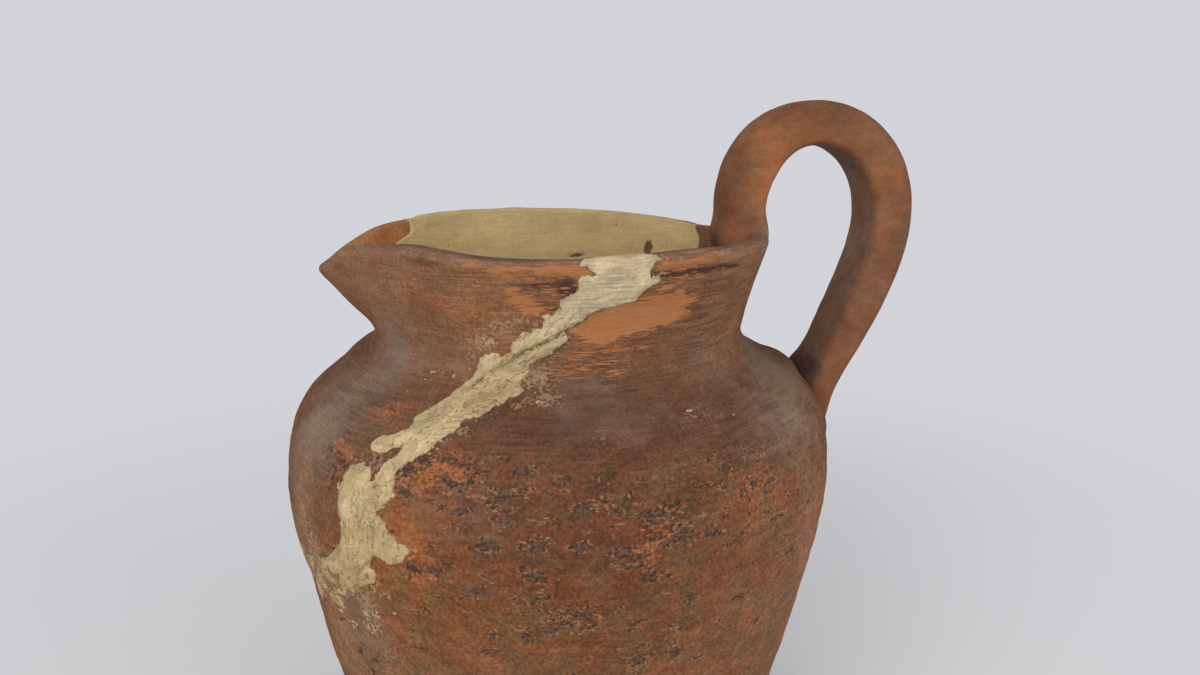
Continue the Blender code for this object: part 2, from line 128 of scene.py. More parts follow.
# Outline of the plaster at the back
BACK_OUTLINE = (
    (-152, 99.5), (-160, 98.5), (-168, 96.8), (-175, 97.6), (-182, 96.6), (-190, 98.4), (-196, 99.8),
    (-202.5, 103.8), (-208, 105.8), (-214.5, 110.9), (-218.5, 113.8), (-224, 119.5), (-228.5, 122.6),
    (-232, 128.2), (-236.5, 131.8), (-239.8, 137.2), (-243.5, 140.5), (-246, 146), (-250, 148.6),
    (-251, 153.2), (-254, 157), (-255, 163.5), (-258.5, 168), (-258.5, 195), (-269.5, 195),
    (-268, 169.5), (-266, 163.5), (-264.5, 156.5), (-261, 151), (-259, 146), (-254.5, 141.5),
    (-251.8, 136.6), (-246.5, 131.5), (-243.5, 127.2), (-238, 122.5), (-235, 118), (-228, 112.5),
    (-224.5, 108), (-217.5, 103.5), (-211.5, 100.6), (-205, 96), (-198, 93.2), (-190, 91.8),
    (-182, 89.8), (-173.5, 91), (-166, 89.6), (-158, 91.4), (-152, 91.8),
)


def outer_radius(height):
    """Radius of the turned outside at a height, without the spout."""
    height = np.asarray(height, float)
    below = np.clip((BELLY_HEIGHT - height) / BELLY_HEIGHT, 0, 1)
    body = BELLY_RADIUS - (BELLY_RADIUS - FOOT_RADIUS) * below**BELLY_FULLNESS
    rise = np.clip((height - BELLY_HEIGHT) / SHOULDER_RISE, 0, 1)
    kept = (1 - rise**SHOULDER_BULGE) ** SHOULDER_HOLLOW
    shoulder = WAIST_RADIUS + (BELLY_RADIUS - WAIST_RADIUS) * kept
    up = np.maximum(0, (height - WAIST_HEIGHT) / NECK_RISE)
    neck = WAIST_RADIUS + (RIM_RADIUS - WAIST_RADIUS) * up**NECK_FLARE
    return np.where(height <= BELLY_HEIGHT, body, np.where(height <= WAIST_HEIGHT, shoulder, neck))


def skin_slope(height):
    """Growth of the outside radius with height, and the length of the step it belongs to."""
    slope = outer_radius(height + 0.5) - outer_radius(height - 0.5)
    return slope, np.hypot(1, slope)


def below_skin(height, depth):
    """Radius and height of the point at a depth under the outside, square to it."""
    slope, length = skin_slope(height)
    return outer_radius(height) - depth / length, height + depth * slope / length


def inner_radius(height, depth):
    """Radius, at a height, of the surface at a depth under the outside."""
    low, high = height - depth, height + depth
    for _ in range(24):
        middle = (low + high) / 2
        under = below_skin(middle, depth)[1] < height
        low, high = np.where(under, middle, low), np.where(under, high, middle)
    return below_skin(middle, depth)[0]


def apart(bearing, other):
    """Degrees between two bearings, the short way round, with its sign."""
    return (bearing - other + 180) % 360 - 180


def round_wall(degrees, radius):
    """Distance in mm round the wall that an angle spans."""
    return degrees * radius * math.pi / 180


def bell(offset, width):
    """1 where the offset is 0, falling off to both sides."""
    return np.exp(-((offset / width) ** 2))


def ramp(value, low, high):
    """0 below low, 1 above high and smooth between them."""
    share = np.clip((value - low) / (high - low), 0, 1)
    return share * share * (3 - 2 * share)


def between(value, low, full, late, high):
    """1 from full to late, and falling off smoothly to 0 at low and at high."""
    return ramp(value, low, full) * (1 - ramp(value, late, high))


def bend(bearing, radius, height):
    """The turned point, pushed out at the spout and lifted or dropped with the uneven rim."""
    fade = np.maximum(0, (height - WAIST_HEIGHT) / NECK_RISE)
    throat = 1 - np.maximum(0, 1 - fade) ** SPOUT_THROAT
    offset = apart(bearing, SPOUT_BEARING)
    spout = SPOUT_REACH / (1 + (offset / SPOUT_HALF_ANGLE) ** 2)
    spout = spout * bell(offset, 4 * SPOUT_HALF_ANGLE)
    push = -PINCH_DEPTH * bell(abs(offset) - PINCH_BEARING, PINCH_ANGLE)
    lift = -SPOUT_DROOP * bell(offset, SPOUT_DROOP_ANGLE)
    for centre, width, rise, outwards in RIM_WAVES:
        lift = lift + rise * bell(apart(bearing, centre), width)
        push = push + outwards * bell(apart(bearing, centre), width)
    angle = np.radians(bearing)
    reach = radius + throat * spout + fade * push
    return np.stack([reach * np.cos(angle), reach * np.sin(angle), height + fade**2 * lift], -1)


ARC_HEIGHTS = np.arange(0, RIM_HEIGHT + 0.25, 0.25)
ARC_LENGTHS = np.cumsum(np.hypot(0.25, np.gradient(outer_radius(ARC_HEIGHTS))))


def arc(height):
    """Distance down the outside from the rim to a height; negative above the rim."""
    above = np.maximum(0, np.asarray(height, float) - RIM_HEIGHT)
    return ARC_LENGTHS[-1] - np.interp(height, ARC_HEIGHTS, ARC_LENGTHS) - above


def lattice(x, y, z, seed):
    """A repeatable number in -1..1 for each whole-number place."""
    value = (x * 374761393 + y * 668265263 + z * 1440662683 + seed * 974634777) & 0xFFFFFFFF
    value = ((value ^ (value >> 13)) * 1274126177) & 0xFFFFFFFF
    return ((value ^ (value >> 16)) & 0xFFFF) / 32767.5 - 1


def noise(places, size, seed, octaves=1):
    """Smooth noise in -1..1, with features of about the given size, or one size for each axis."""
    total = 0
    for octave in range(octaves):
        scaled = places / np.asarray(size, float) * 2**octave
        cell = np.floor(scaled).astype(np.int64)
        share = scaled - cell
        share = share * share * (3 - 2 * share)
        for corner in itertools.product((0, 1), repeat=3):
            weight = np.prod(np.where(corner, share, 1 - share), axis=-1)
            x, y, z = np.moveaxis(cell + corner, -1, 0)
            total = total + weight * lattice(x, y, z, seed + 31 * octave) / 2**octave
    return total


def depth_inside(bearing, down, radius, outline):
    """How far inside an outline each place lies, in mm, and outside it as a negative number."""
    scale = round_wall(1, radius)
    nearest = np.full(bearing.shape, np.inf)
    inside = np.zeros(bearing.shape, bool)
    for (b0, d0), (b1, d1) in zip(outline, outline[1:] + outline[:1]):
        across, along = (bearing - b0) * scale, down - d0
        run, fall = (b1 - b0) * scale, d1 - d0
        share = np.clip((across * run + along * fall) / (run * run + fall * fall + 1e-9), 0, 1)
        nearest = np.minimum(nearest, np.hypot(across - share * run, along - share * fall))
        if d0 != d1:
            crossing = b0 + (down - d0) * (b1 - b0) / (d1 - d0)
            inside ^= ((d0 > down) != (d1 > down)) & (bearing < crossing)
    return np.where(inside, nearest, -nearest)


def course_along(bearing, down, radius, line):
    """Place along an open line of (bearing, distance down) points, and across it, in mm."""
    scale = round_wall(1, radius)
    nearest = np.full(bearing.shape, np.inf)
    along, across = np.zeros(bearing.shape), np.zeros(bearing.shape)
    before = 0.0
    for (b0, d0), (b1, d1) in zip(line, line[1:]):
        x, y = (bearing - b0) * scale, down - d0
        run, fall = (b1 - b0) * scale, d1 - d0
        length = np.hypot(run, fall)
        share = np.clip((x * run + y * fall) / length**2, 0, 1)
        offset = np.hypot(x - share * run, y - share * fall)
        closer = offset < nearest
        nearest = np.where(closer, offset, nearest)
        along = np.where(closer, before + share * length, along)
        across = np.where(closer, np.copysign(offset, x * fall - y * run), across)
        before = before + length
    return along, across


def away_from(bearing, down, radius, line):
    """Distance in mm from an open line of (bearing, distance down) points."""
    return abs(course_along(bearing, down, radius, line)[1])


def unrolled(points):
    """(bearing, height) points as (bearing, distance down from the rim)."""
    return [(bearing, float(arc(height))) for bearing, height in points]


# Rows of the wall's section: radius, height, outward direction, the height outside that a row
# belongs to, and how far down the outside and the inside it lies
ROW_KEYS = ("r", "z", "nr", "nz", "h", "out", "into")


def rows_outside(heights):
    """Section rows on the outside at some heights."""
    heights = np.asarray(heights, float)
    slope, length = skin_slope(heights)
    down = arc(heights)
    return np.stack([outer_radius(heights), heights, 1 / length, -slope / length, heights, down,
                     -LIP_LENGTH - down])


def paired_height(heights):
    """Height of the inside opposite each height of the outside."""
    _, opposite = below_skin(heights, WALL)
    blend = ramp(WALL_TOP - heights, 0, 12)
    return np.minimum(heights + (opposite - heights) * blend, WALL_TOP)


def rows_inside(heights):
    """Section rows on the inside, opposite some heights of the outside."""
    heights = np.asarray(heights, float)
    slope, length = skin_slope(heights)
    level = paired_height(heights)
    down = arc(heights)
    return np.stack([inner_radius(level, WALL), level, -1 / length, slope / length, heights,
                     -LIP_LENGTH - down, down])


def lip_course():
    """Fine points over the lip, from the outside to the inside, as (radius, height)."""
    turns = np.radians(np.linspace(0, 90, 9))
    across, up = LIP_ROUND * (1 - np.cos(turns)), WALL_TOP + LIP_ROUND * np.sin(turns)
    outer = np.stack([outer_radius(WALL_TOP) - across, up], -1)
    inner = np.stack([inner_radius(np.array(WALL_TOP), WALL) + across, up], -1)
    return np.concatenate([outer, inner[::-1]])


LIP = lip_course()
LIP_STEPS = np.concatenate([[0], np.cumsum(np.hypot(*np.diff(LIP, axis=0).T))])
LIP_LENGTH = LIP_STEPS[-1]


def rows_lip(count):
    """An odd number of rows over the lip, without its two ends."""
    at = np.linspace(0, LIP_LENGTH, count + 2)
    r, z = np.interp(at, LIP_STEPS, LIP[:, 0]), np.interp(at, LIP_STEPS, LIP[:, 1])
    along_r, along_z = np.gradient(r), np.gradient(z)
    length = np.hypot(along_r, along_z)
    full = np.full(count + 2, RIM_HEIGHT)
    rows = np.stack([r, z, along_z / length, -along_r / length, full, -at, at - LIP_LENGTH])
    return rows[:, 1:-1]


def blob(across, along, wide, tall, tilt=0.0):
    """1 at the middle, falling off with the half sizes across and along, turned by the tilt."""
    turn = math.radians(tilt)
    u = across * math.cos(turn) - along * math.sin(turn)
    v = across * math.sin(turn) + along * math.cos(turn)
    return np.exp(-((u / wide) ** 2 + (v / tall) ** 2))


class Sheet:
    """Places of the wall over a grid of bearings and section rows, with their coordinates."""

    def __init__(self, bearings, rows):
        self.b = np.repeat(np.asarray(bearings, float)[:, None], rows.shape[1], 1)
        for key, row in zip(ROW_KEYS, rows):
            setattr(self, key, np.repeat(row[None, :], len(bearings), 0))
        self.radius = outer_radius(self.h)
        self.down = np.maximum(self.out, 0)
        self.base = bend(self.b, self.r, self.z)

    def lifted(self, lift):
        """Points at a height over the turned wall, square to it."""
        return bend(self.b, self.r + self.nr * lift, self.z + self.nz * lift)

    def noise(self, size, seed, octaves=1):
        return noise(self.base, size, seed, octaves)

    def along(self, bearing):
        """Distance round the wall from a bearing, in mm."""
        return round_wall(apart(self.b, bearing), self.radius)

    def depth(self, outline):
        """How far inside an unrolled outline each place on the outside lies, in mm."""
        return depth_inside(self.b, self.out, self.radius, outline)

    def spot(self, bearing, height, wide, tall, tilt=0.0):
        """A soft round mark, with its half sizes in mm."""
        return blob(self.along(bearing), self.out - float(arc(height)), wide, tall, tilt)

    def inside_spot(self, bearing, height, wide, tall, tilt=0.0):
        """The same on the inside, placed by the height of the inside itself."""
        return blob(self.along(bearing) * INSIDE_SHARE, height - self.z, wide, tall, tilt)

    def small_spots(self, spots, grow=1.0):
        """The strongest of many small marks at each place, worked out only near each mark."""
        result = np.zeros_like(self.b)
        for bearing, height, wide, tall, *tilt in spots:
            reach = 3 * grow * max(wide, tall)
            span = math.degrees(reach / float(outer_radius(height)))
            down = float(arc(height))
            near = np.ix_(abs(apart(self.b[:, 0], bearing)) < span, abs(self.out[0] - down) < reach)
            across = round_wall(apart(self.b[near], bearing), self.radius[near])
            mark = blob(across, self.out[near] - down, wide * grow, tall * grow, *tilt)
            result[near] = np.maximum(result[near], mark)
        return result

    def raised(self, value, spots):
        """The value, raised to each soft mark's strength where that is more."""
        for *place, strength in spots:
            value = np.maximum(value, strength * self.spot(*place))
        return value


# Where the wall swells or falls short of the turned shape: bearing, height, half width, half
# height and rise in mm
UNEVEN = (
    (-166, 124, 30, 10, -1.2), (-163, 88, 30, 9, -1.2), (-22, 121, 26, 8, -0.5),
    (-22, 74, 34, 20, -1), (-22, 54, 34, 9, -0.6), (-9, 143, 24, 6, -1.5), (-177, 143.5, 24, 5, 1.3),
    (-172, 151.5, 22, 4, -1), (-163, 76, 30, 8, -0.5),
)

# Soft patches of colour on the clay: bearing, height, half width and half height in mm, strength
# and linear colour
PATCHES = (
    (-118, 160, 26, 11, 0.8, (0.215, 0.098, 0.049)), (-112, 163, 7, 14, 0.6, (0.25, 0.115, 0.052)),
    (-128, 156, 7, 12, 0.5, (0.185, 0.088, 0.046)), (-78, 154, 12, 7, 0.8, (0.15, 0.069, 0.035)),
    (-55, 160, 16, 9, 0.8, (0.17, 0.085, 0.048)), (-40, 150, 16, 10, 0.7, (0.16, 0.085, 0.055)),
    (-146, 146, 8, 16, 0.8, (0.18, 0.12, 0.09)), (-152, 132, 13, 15, 0.9, (0.172, 0.128, 0.096)),
    (-86, 106, 14, 38, 0.4, (0.095, 0.04, 0.02)), (-128, 108, 10, 20, 0.5, (0.235, 0.092, 0.036)),
    (-38, 152, 14, 8, 0.7, (0.225, 0.104, 0.05)), (-44, 137, 11, 9, 0.8, (0.16, 0.105, 0.075)),
    (-52, 150, 6, 7, 0.6, (0.15, 0.1, 0.07)), (-95, 140, 22, 7, 0.7, (0.12, 0.06, 0.038)),
    (-132, 138, 9, 5, 0.7, (0.205, 0.098, 0.055)), (-68, 138, 14, 6, 0.6, (0.125, 0.068, 0.045)),
    (-121, 118, 8, 8, 0.95, (0.305, 0.102, 0.034)), (-112, 128, 14, 7, 0.6, (0.195, 0.072, 0.032)),
    (-95, 118, 24, 12, 0.6, (0.133, 0.055, 0.028)), (-62, 118, 18, 16, 0.7, (0.19, 0.088, 0.045)),
    (-36, 112, 16, 18, 0.7, (0.19, 0.094, 0.056)), (-104, 90, 26, 12, 0.6, (0.16, 0.068, 0.031)),
    (-66, 88, 22, 14, 0.6, (0.184, 0.086, 0.046)), (-134, 86, 16, 14, 0.6, (0.198, 0.1, 0.054)),
    (-152, 112, 9, 26, 0.6, (0.25, 0.13, 0.075)), (-124, 174.5, 16, 1.5, 0.7, (0.22, 0.14, 0.095)),
    (-178, 170, 10, 8, 0.7, (0.165, 0.082, 0.056)), (-80, 136, 34, 12, 0.85, (0.106, 0.047, 0.029)),
    (-52, 132, 14, 12, 0.7, (0.104, 0.054, 0.036)), (-84, 120, 34, 9, 0.75, (0.098, 0.041, 0.024)),
    (-70, 104, 24, 10, 0.5, (0.136, 0.058, 0.032)), (-66, 158, 9, 7, 0.6, (0.15, 0.07, 0.038)),
    (-140, 76, 14, 20, 0.8, (0.27, 0.138, 0.076)), (-112, 80, 14, 14, 0.5, (0.22, 0.098, 0.048)),
    (-48, 86, 12, 22, 0.7, (0.23, 0.112, 0.06)), (-36, 102, 11, 20, 0.8, (0.258, 0.128, 0.074)),
    (-86, 147, 12, 6, 0.8, (0.118, 0.06, 0.036)), (-88, 141, 18, 5, 0.6, (0.098, 0.048, 0.031)),
    (-107, 127.5, 7, 5, 0.7, (0.098, 0.043, 0.028)), (-58, 121, 11, 8, 0.7, (0.205, 0.086, 0.041)),
    (-36, 133, 12, 8, 0.7, (0.205, 0.128, 0.09)), (-78, 168, 14, 3.5, 0.7, (0.135, 0.066, 0.037)),
    (-62, 165, 12, 6, 0.6, (0.15, 0.072, 0.04)), (-24, 58, 14, 16, 0.7, (0.25, 0.135, 0.08)),
)

# Pits in the front of the belly: bearing, height, half width, half height and any tilt
PITS = (
    (-121.7, 126.5, 3, 1.1), (-101.8, 128.7, 3.4, 1.2, 5), (-113.5, 131.4, 2.6, 1),
    (-114.8, 133.8, 2.2, 0.9), (-123.2, 130, 1.8, 1, 20), (-100.8, 132.7, 3.2, 1.1, -5),
    (-96.5, 123.5, 3, 1.2), (-106.6, 118.1, 3.4, 1.3, 8), (-98.1, 118.8, 2.8, 1.1),
    (-91.4, 117.9, 2.6, 1.2), (-97.8, 110.8, 3.2, 1.3), (-107.7, 107.1, 3, 1.2, 10),
    (-103.4, 122.5, 3, 0.9, 35), (-85.5, 124.6, 2.6, 1.1), (-90.4, 125.9, 2.4, 1, -10),
    (-77.9, 123, 4.2, 1.4), (-75.8, 124.6, 2.6, 1, 15), (-84.1, 116.1, 3.6, 1.3),
    (-82, 114.3, 2.2, 1), (-73.2, 116.9, 3.8, 0.9), (-79.9, 108.9, 3.4, 1.3, -8),
    (-100.6, 95.6, 2.6, 1.2), (-106.9, 91.1, 2.8, 1.2), (-95.6, 98.4, 2.4, 1, 12),
    (-90.2, 101.5, 2.8, 1.1), (-81.2, 97.8, 3, 1.2), (-80.6, 87.9, 2.6, 1.2), (-74, 95, 2.8, 1.1),
    (-73.3, 87.7, 2.4, 1), (-111, 124.5, 2.4, 1), (-110.5, 121.3, 2.2, 1), (-120.1, 110.4, 2, 1.3),
    (-71.8, 101.9, 0.9, 2.4), (-68.4, 117, 2.6, 1), (-139.9, 124.3, 1, 2.6),
    (-104.9, 134.6, 2.2, 0.9), (-106.1, 126.7, 2.4, 1), (-115, 110.5, 2.2, 1),
    (-54.1, 123.7, 2.6, 1), (-63.5, 129.7, 2.4, 0.9), (-69.1, 127.8, 2.2, 0.9),
    (-52.7, 114.9, 2.6, 1.1), (-62.9, 112.9, 2.6, 1), (-53.9, 87.8, 2.2, 1), (-60.9, 97.9, 2.6, 1),
    (-45.5, 103.2, 2.4, 1), (-78.8, 135.5, 2.4, 0.8), (-45.5, 127.5, 2.2, 0.9),
)
# How many more pits are scattered over the belly
SCATTERED_PITS = 520
# Orange-red flakes between the front's pits, in the same form
FLAKES = (
    (-119.9, 127.8, 2.4, 0.9, 15), (-118.4, 129.4, 2, 0.8, 25), (-116.1, 132, 2.6, 0.7, 10),
    (-113.3, 132.3, 2, 0.6), (-112, 134.5, 2.4, 0.7), (-109.5, 134.3, 1.8, 0.6),
    (-116.2, 120.9, 0.8, 3), (-113.5, 120.9, 1.6, 0.8), (-123.9, 128.7, 1.6, 0.8),
    (-117.6, 134.4, 2.4, 0.7, 12), (-115.9, 109.1, 1.6, 0.8), (-116.2, 113.1, 1.8, 0.7),
    (-112.8, 109.2, 1.6, 0.7), (-118.3, 107.9, 1.6, 0.8), (-109, 128, 2.2, 0.7),
    (-99.1, 129, 1.8, 0.6), (-79.9, 115.9, 2, 0.8), (-66.4, 133.6, 2.4, 0.8),
    (-63.8, 132.9, 1.6, 0.7), (-67.6, 125.7, 2, 0.7), (-110.5, 101.8, 2, 0.8),
    (-135.2, 138.8, 2.6, 1.2), (-132.9, 140.4, 2, 1), (-129.8, 140.4, 2.2, 1),
    (-132.7, 137.4, 1.8, 0.9), (-129.1, 136.6, 2, 1), (-141.3, 131.8, 2.4, 1.2),
    (-136.8, 130.4, 1.8, 1),
)
# Plaster smeared or spattered on the clay beside the mend, in the same form
SMEARS = (
    (-147.6, 106.9, 2, 1.4), (-145.8, 104.5, 2.6, 1.2, 20), (-144.5, 99.8, 2.2, 1.6),
    (-150.6, 76.1, 2.8, 0.9), (-148.4, 75.3, 1.8, 0.8), (-131.6, 90.2, 2, 1),
    (-129.3, 94.8, 2.2, 1, 30), (-126, 101.8, 1.8, 1.2), (-124.8, 96.7, 1.6, 0.8),
    (-106.9, 148.2, 1.6, 0.8), (-99, 143.6, 2, 0.7), (-113.7, 138.5, 2.2, 0.8),
    (-115.8, 137.3, 1.8, 0.7), (-111.8, 156.1, 2.6, 1.2), (-106, 161.3, 1.4, 0.9),
    (-70.9, 140.8, 1.2, 0.4), (-64.7, 139.9, 1.6, 0.4), (-70.4, 138.3, 1.2, 0.3),
    (-59.9, 138.5, 1.4, 0.4), (-62, 136.2, 1.4, 0.3), (-54.8, 137.6, 1.6, 0.4),
    (-129.1, 146.9, 2.2, 0.5, 15), (-123.8, 148, 2, 0.4, 10), (-117.9, 148.6, 1.8, 0.4, 10),
    (-123.3, 146.8, 2.4, 0.4, 10), (-133.2, 142.9, 1.8, 0.5, 20), (-131.5, 145, 1.8, 0.4, 15),
)
# Outline of the place beside the plaster where the slip is scraped off, down to orange clay
SCRAPED = (
    (-91.1, 158.9), (-87, 162.5), (-81.7, 164), (-76.2, 164.6), (-71.9, 165.7), (-65.6, 165.7),
    (-58.8, 163.8), (-63.2, 162.4), (-60.2, 160.8), (-66.8, 159.1), (-73.8, 158), (-78.4, 157.1),
    (-83.4, 155), (-87.9, 156.4),
)
# Scratches round it, in the form of the pits
SCRATCHES = (
    (-92.9, 152.9, 4, 0.5), (-83.3, 153.7, 6, 0.5), (-86.5, 150.9, 5, 0.4), (-94.2, 149.4, 4, 0.4),
    (-83.4, 148.3, 5, 0.4), (-96.1, 148.1, 3, 0.4), (-75.8, 169.6, 3, 0.6), (-62.4, 169.6, 4, 0.5),
    (-68.8, 167.3, 3.6, 0.5),
)
# Line of the dark crevice along the middle of the front plaster, darkened with painted shade
CREVICE = (
    (-89, 160.4), (-94.1, 157.8), (-99.1, 155.4), (-103.7, 153.1), (-107, 150.9), (-112.3, 148.4),
    (-116.9, 145),
)
# Orange clay worn bare along the front of the rim, in the form of the pits
RIM_WORN = (
    (-103.5, 173.5, 4, 0.8), (-97.5, 173.4, 4.5, 1.1), (-92.5, 173, 4, 1.2, -4),
    (-88.6, 172.5, 2.2, 0.8, -8), (-113.5, 173.4, 2, 0.5), (-122.9, 173.1, 2.2, 0.4),
    (-108.5, 172.6, 2, 0.5), (-70.5, 172.6, 2.8, 1.2), (-66, 172.5, 4, 1.3, 2),
    (-61, 172.7, 3.4, 1.1, 2), (-58.5, 172.9, 2, 0.7), (-103, 166, 3.4, 1.2), (-100.5, 164, 3, 1),
    (-105, 168.3, 2.6, 0.6),
)
# Dusty, plaster-spattered and stained places, the stains with some painted shade among them: bearing,
# height, half width, half height, strength
DUSTY = (
    (-151, 133, 14, 14, 0.62), (-146, 147, 9, 10, 0.65), (-130, 151, 16, 6, 0.35),
    (-44, 133, 16, 9, 0.5), (-50, 145, 12, 6, 0.35), (-22, 140, 16, 12, 0.85),
    (-36, 134, 12, 8, 0.5), (-152, 108, 8, 22, 0.25), (-70, 140, 20, 4, 0.2), (-48, 173, 7, 3, 0.6),
    (-30, 173, 12, 5, 0.5), (-134, 92, 10, 12, 0.5), (-98, 152, 5, 4, 0.3), (-139, 94, 6, 5, 0.5),
    (-132, 93, 3, 7, 0.6), (-147, 104, 4, 12, 0.5), (-136, 86, 7, 5, 0.75), (-157, 98, 5, 14, 0.4),
    (-8, 172, 8, 4, 0.4),
)
SPATTERED = (
    (-114, 156, 5, 4, 0.6), (-109, 159.5, 4, 3, 0.6), (-104, 161.5, 4, 3, 0.5),
    (-100.5, 147.5, 5, 4, 0.75), (-98, 143.8, 5, 2.5, 0.75), (-110.5, 141.5, 3, 1.5, 0.6),
    (-104, 142.5, 3, 1.2, 0.6), (-115, 138, 4, 1.5, 0.7), (-117, 152, 4, 2, 0.5),
    (-139, 99, 6, 5, 0.75), (-132, 97, 4, 6, 0.7), (-130, 91, 2.5, 4, 0.6), (-146, 100, 5, 10, 0.75),
    (-150, 110, 4, 8, 0.6), (-64, 139, 8, 3, 0.35), (-86, 137, 6, 3, 0.3),
)
# Stains, and painted shade: (0, 131) darkens the angle between the strap's lower limb and the
# shoulder, and (-68, 170.2) is a painted shadow line under the ledge below the front rim
STAINED_AND_SHADED = (
    (-97, 169.4, 9, 1.8, 1), (-92.5, 168.6, 2.6, 2.8, 1.4), (-112, 172.2, 12, 1, 0.6),
    (-128, 172.6, 10, 1.4, 0.6), (-100, 171.2, 7, 0.5, 0.9), (-128, 131, 3, 1.6, 0.5),
    (-139.5, 124.5, 1.4, 3, 0.7), (-120, 110.4, 2.4, 1.4, 0.9), (0, 131, 11, 4, 1.2),
    (-95, 140, 30, 5, 0.25), (-68, 170.2, 12, 0.7, 0.9), (-74, 168, 9, 1.4, 0.6),
)
# Torn places, thick with pits and flakes, and cream plaster rubbed into the clay, in the same form
TORN = (
    (-118, 130, 11, 5, 0.6), (-112, 133, 9, 3.5, 0.65), (-124, 130, 5, 4, 0.5),
    (-132, 139, 5, 3.5, 0.95), (-139, 131, 5, 3, 0.7), (-104, 127, 6, 4, 0.45),
    (-90, 126, 8, 4, 0.4), (-77, 121, 8, 5, 0.5), (-84, 115, 7, 4, 0.4), (-98, 111, 7, 4, 0.35),
    (-91, 101, 8, 5, 0.3), (-117, 109, 6, 4, 0.45),
)
CREAMED = (
    (-162, 94, 8, 8, 1.2), (-153, 90, 6, 5, 1), (-149, 103, 3, 7, 0.7), (-142, 92, 5, 4.5, 0.85),
    (-137, 88, 4, 3, 0.65), (-132.5, 91, 2.5, 5, 0.75),
)
INNER_CLAY = (0.135, 0.064, 0.033)
BARE_CLAY = (0.320, 0.125, 0.050)
LIP_CLAY = (0.130, 0.080, 0.062)
# Colour of the clay by height, before its patches
CLAY_BY_HEIGHT = (
    (0, (0.15, 0.07, 0.036)), (70, (0.17, 0.078, 0.036)), (100, (0.152, 0.067, 0.028)),
    (125, (0.14, 0.059, 0.027)), (140, (0.128, 0.062, 0.038)), (152, (0.19, 0.09, 0.048)),
    (170, (0.205, 0.1, 0.052)), (175, (0.23, 0.115, 0.06)),
)

# Sizes of the meshes' cells: 1 is full fineness
COARSENESS = 1.0
CLAY_STEP = 1.0 * COARSENESS
FRONT_STEP_ANGLE = 0.68 * COARSENESS
BACK_STEP_ANGLE = 1.5 * COARSENESS
FINE_BEARINGS = (-175.0, 6.0)
FINE_FROM_HEIGHT = 60
PAIRED_FROM_HEIGHT = 86
COARSE_STEP = 3.0
PLASTER_STEP = 0.4 * COARSENESS
LIP_ROWS = 9
PLASTER_LIP_ROWS = 13
# Ridges and overlaps in the front plaster: place, half sizes in mm, tilt and height in mm
STRIP_LUMPS = (
    (-93.5, 163.5, 4, 1.6, 40, 0.35), (-98, 159.5, 3.5, 1.8, 30, 0.3),
    (-86, 165.5, 4.5, 1.2, 15, -0.25), (-102.5, 156, 4, 1.5, 45, 0.25),
    (-110.5, 150.5, 4, 1.8, 35, 0.3), (-117, 141.5, 5.5, 1.8, 40, 0.25),
    (-123.5, 137.5, 4, 1.6, 30, 0.3), (-131, 125.5, 2.4, 3.4, 20, 0.3),
    (-130, 120.5, 2.8, 1.4, 0, -0.3), (-131.5, 113.5, 3.4, 3, 0, 0.15),
    (-126, 112.8, 5, 1.6, -12, 0.3), (-134.5, 107.8, 3.6, 2, 0, 0.3), (-141.5, 101.5, 3, 2, 0, 0.25),
)
STRIP_TOP = (0.435, 0.352, 0.218)
STRIP_MIDDLE = (0.450, 0.345, 0.190)
STRIP_BOTTOM = (0.410, 0.302, 0.152)
STRIP_KHAKI = (0.300, 0.210, 0.100)
SKIM_COLOUR = (0.405, 0.293, 0.136)
STRAP_COLOUR = (0.160, 0.071, 0.038)
# Orange clay of the strap, also used for the painted highlight on the near limb
STRAP_ORANGE = (0.268, 0.109, 0.044)
STRAP_INNER = (0.165, 0.100, 0.068)
# Marks on the inside of the neck: place, half sizes in mm, tilt and strength
SKIM_MARKS = (
    (-310.4, 164.4, 1.7, 2.6, 0, 1.6), (-281.7, 160.7, 3.8, 0.9, -8, 1.05),
    (-244.1, 172.3, 1.3, 0.8, 0, 0.6), (-236, 173.3, 1.6, 0.6, 0, 0.6),
    (-226.1, 164.1, 1.8, 0.8, 0, 0.5), (-218.1, 165.6, 2.6, 1.3, 0, 0.6),
    (-296.4, 165.1, 1.4, 1, 0, 0.45), (-272.5, 165.9, 8.5, 1, -5, 0.42),
    (-300, 170.5, 3, 0.8, 0, 0.35), (-318, 168.5, 2, 0.9, 0, 0.4), (-252, 160, 5, 1.2, 0, 0.25),
)
BACKDROP = (0.650, 0.655, 0.690, 1)
AMBIENT = (0.62, 0.62, 0.63, 1)
FLOOR_COLOUR = (0.66, 0.665, 0.685, 1)
# Where the floor starts to fade and is gone, in metres from the jug
FLOOR_FADE = (0.15, 0.55)
# The camera's place, how far it looks down and how far it is turned to the right
CAMERA_PLACE = (-18.544, -245.067, 204.46)
CAMERA_DROP = 13.71
CAMERA_TURN = 7
CAMERA_LENS = 27
# Radius that the plaster's columns are spaced at, and the slope of the front strip
MIDDLE_RADIUS = 66
STRIP_SLOPE = 42
# Heights of the clay smoothed over the strap's lower root and into the angle above it
LOWER_ROOT_HEIGHT = 119
CROTCH_HEIGHT = 136.3
# How far the plaster laps over the clay's cut edge
LAP = 1.3
# Half the width of the plaster along the break on the inside of the wall
RIBBON_HALF_WIDTH = 2.8
# How far the plaster's edge is sunk into the wall, and how deep its underside lies
EDGE_SUNK = 0.5
PLASTER_DEPTH = 1.2
# How far the spout's nose is worn down
NOSE_WEAR = 2.9
# Slip left on the near limb where it passes the rim
LUTING = 1.2
# Squareness of the strap's section outside and inside: 2 is an ellipse
OUTER_SQUARENESS = 2.7
INNER_SQUARENESS = 6.0
# The inside's radius as a share of the outside's
INSIDE_SHARE = 0.92
# Where the coat inside the neck ends, towards the spout and towards the strap
SKIM_LEFT_BEARING = -213.5
SKIM_RIGHT_BEARING = -333.0


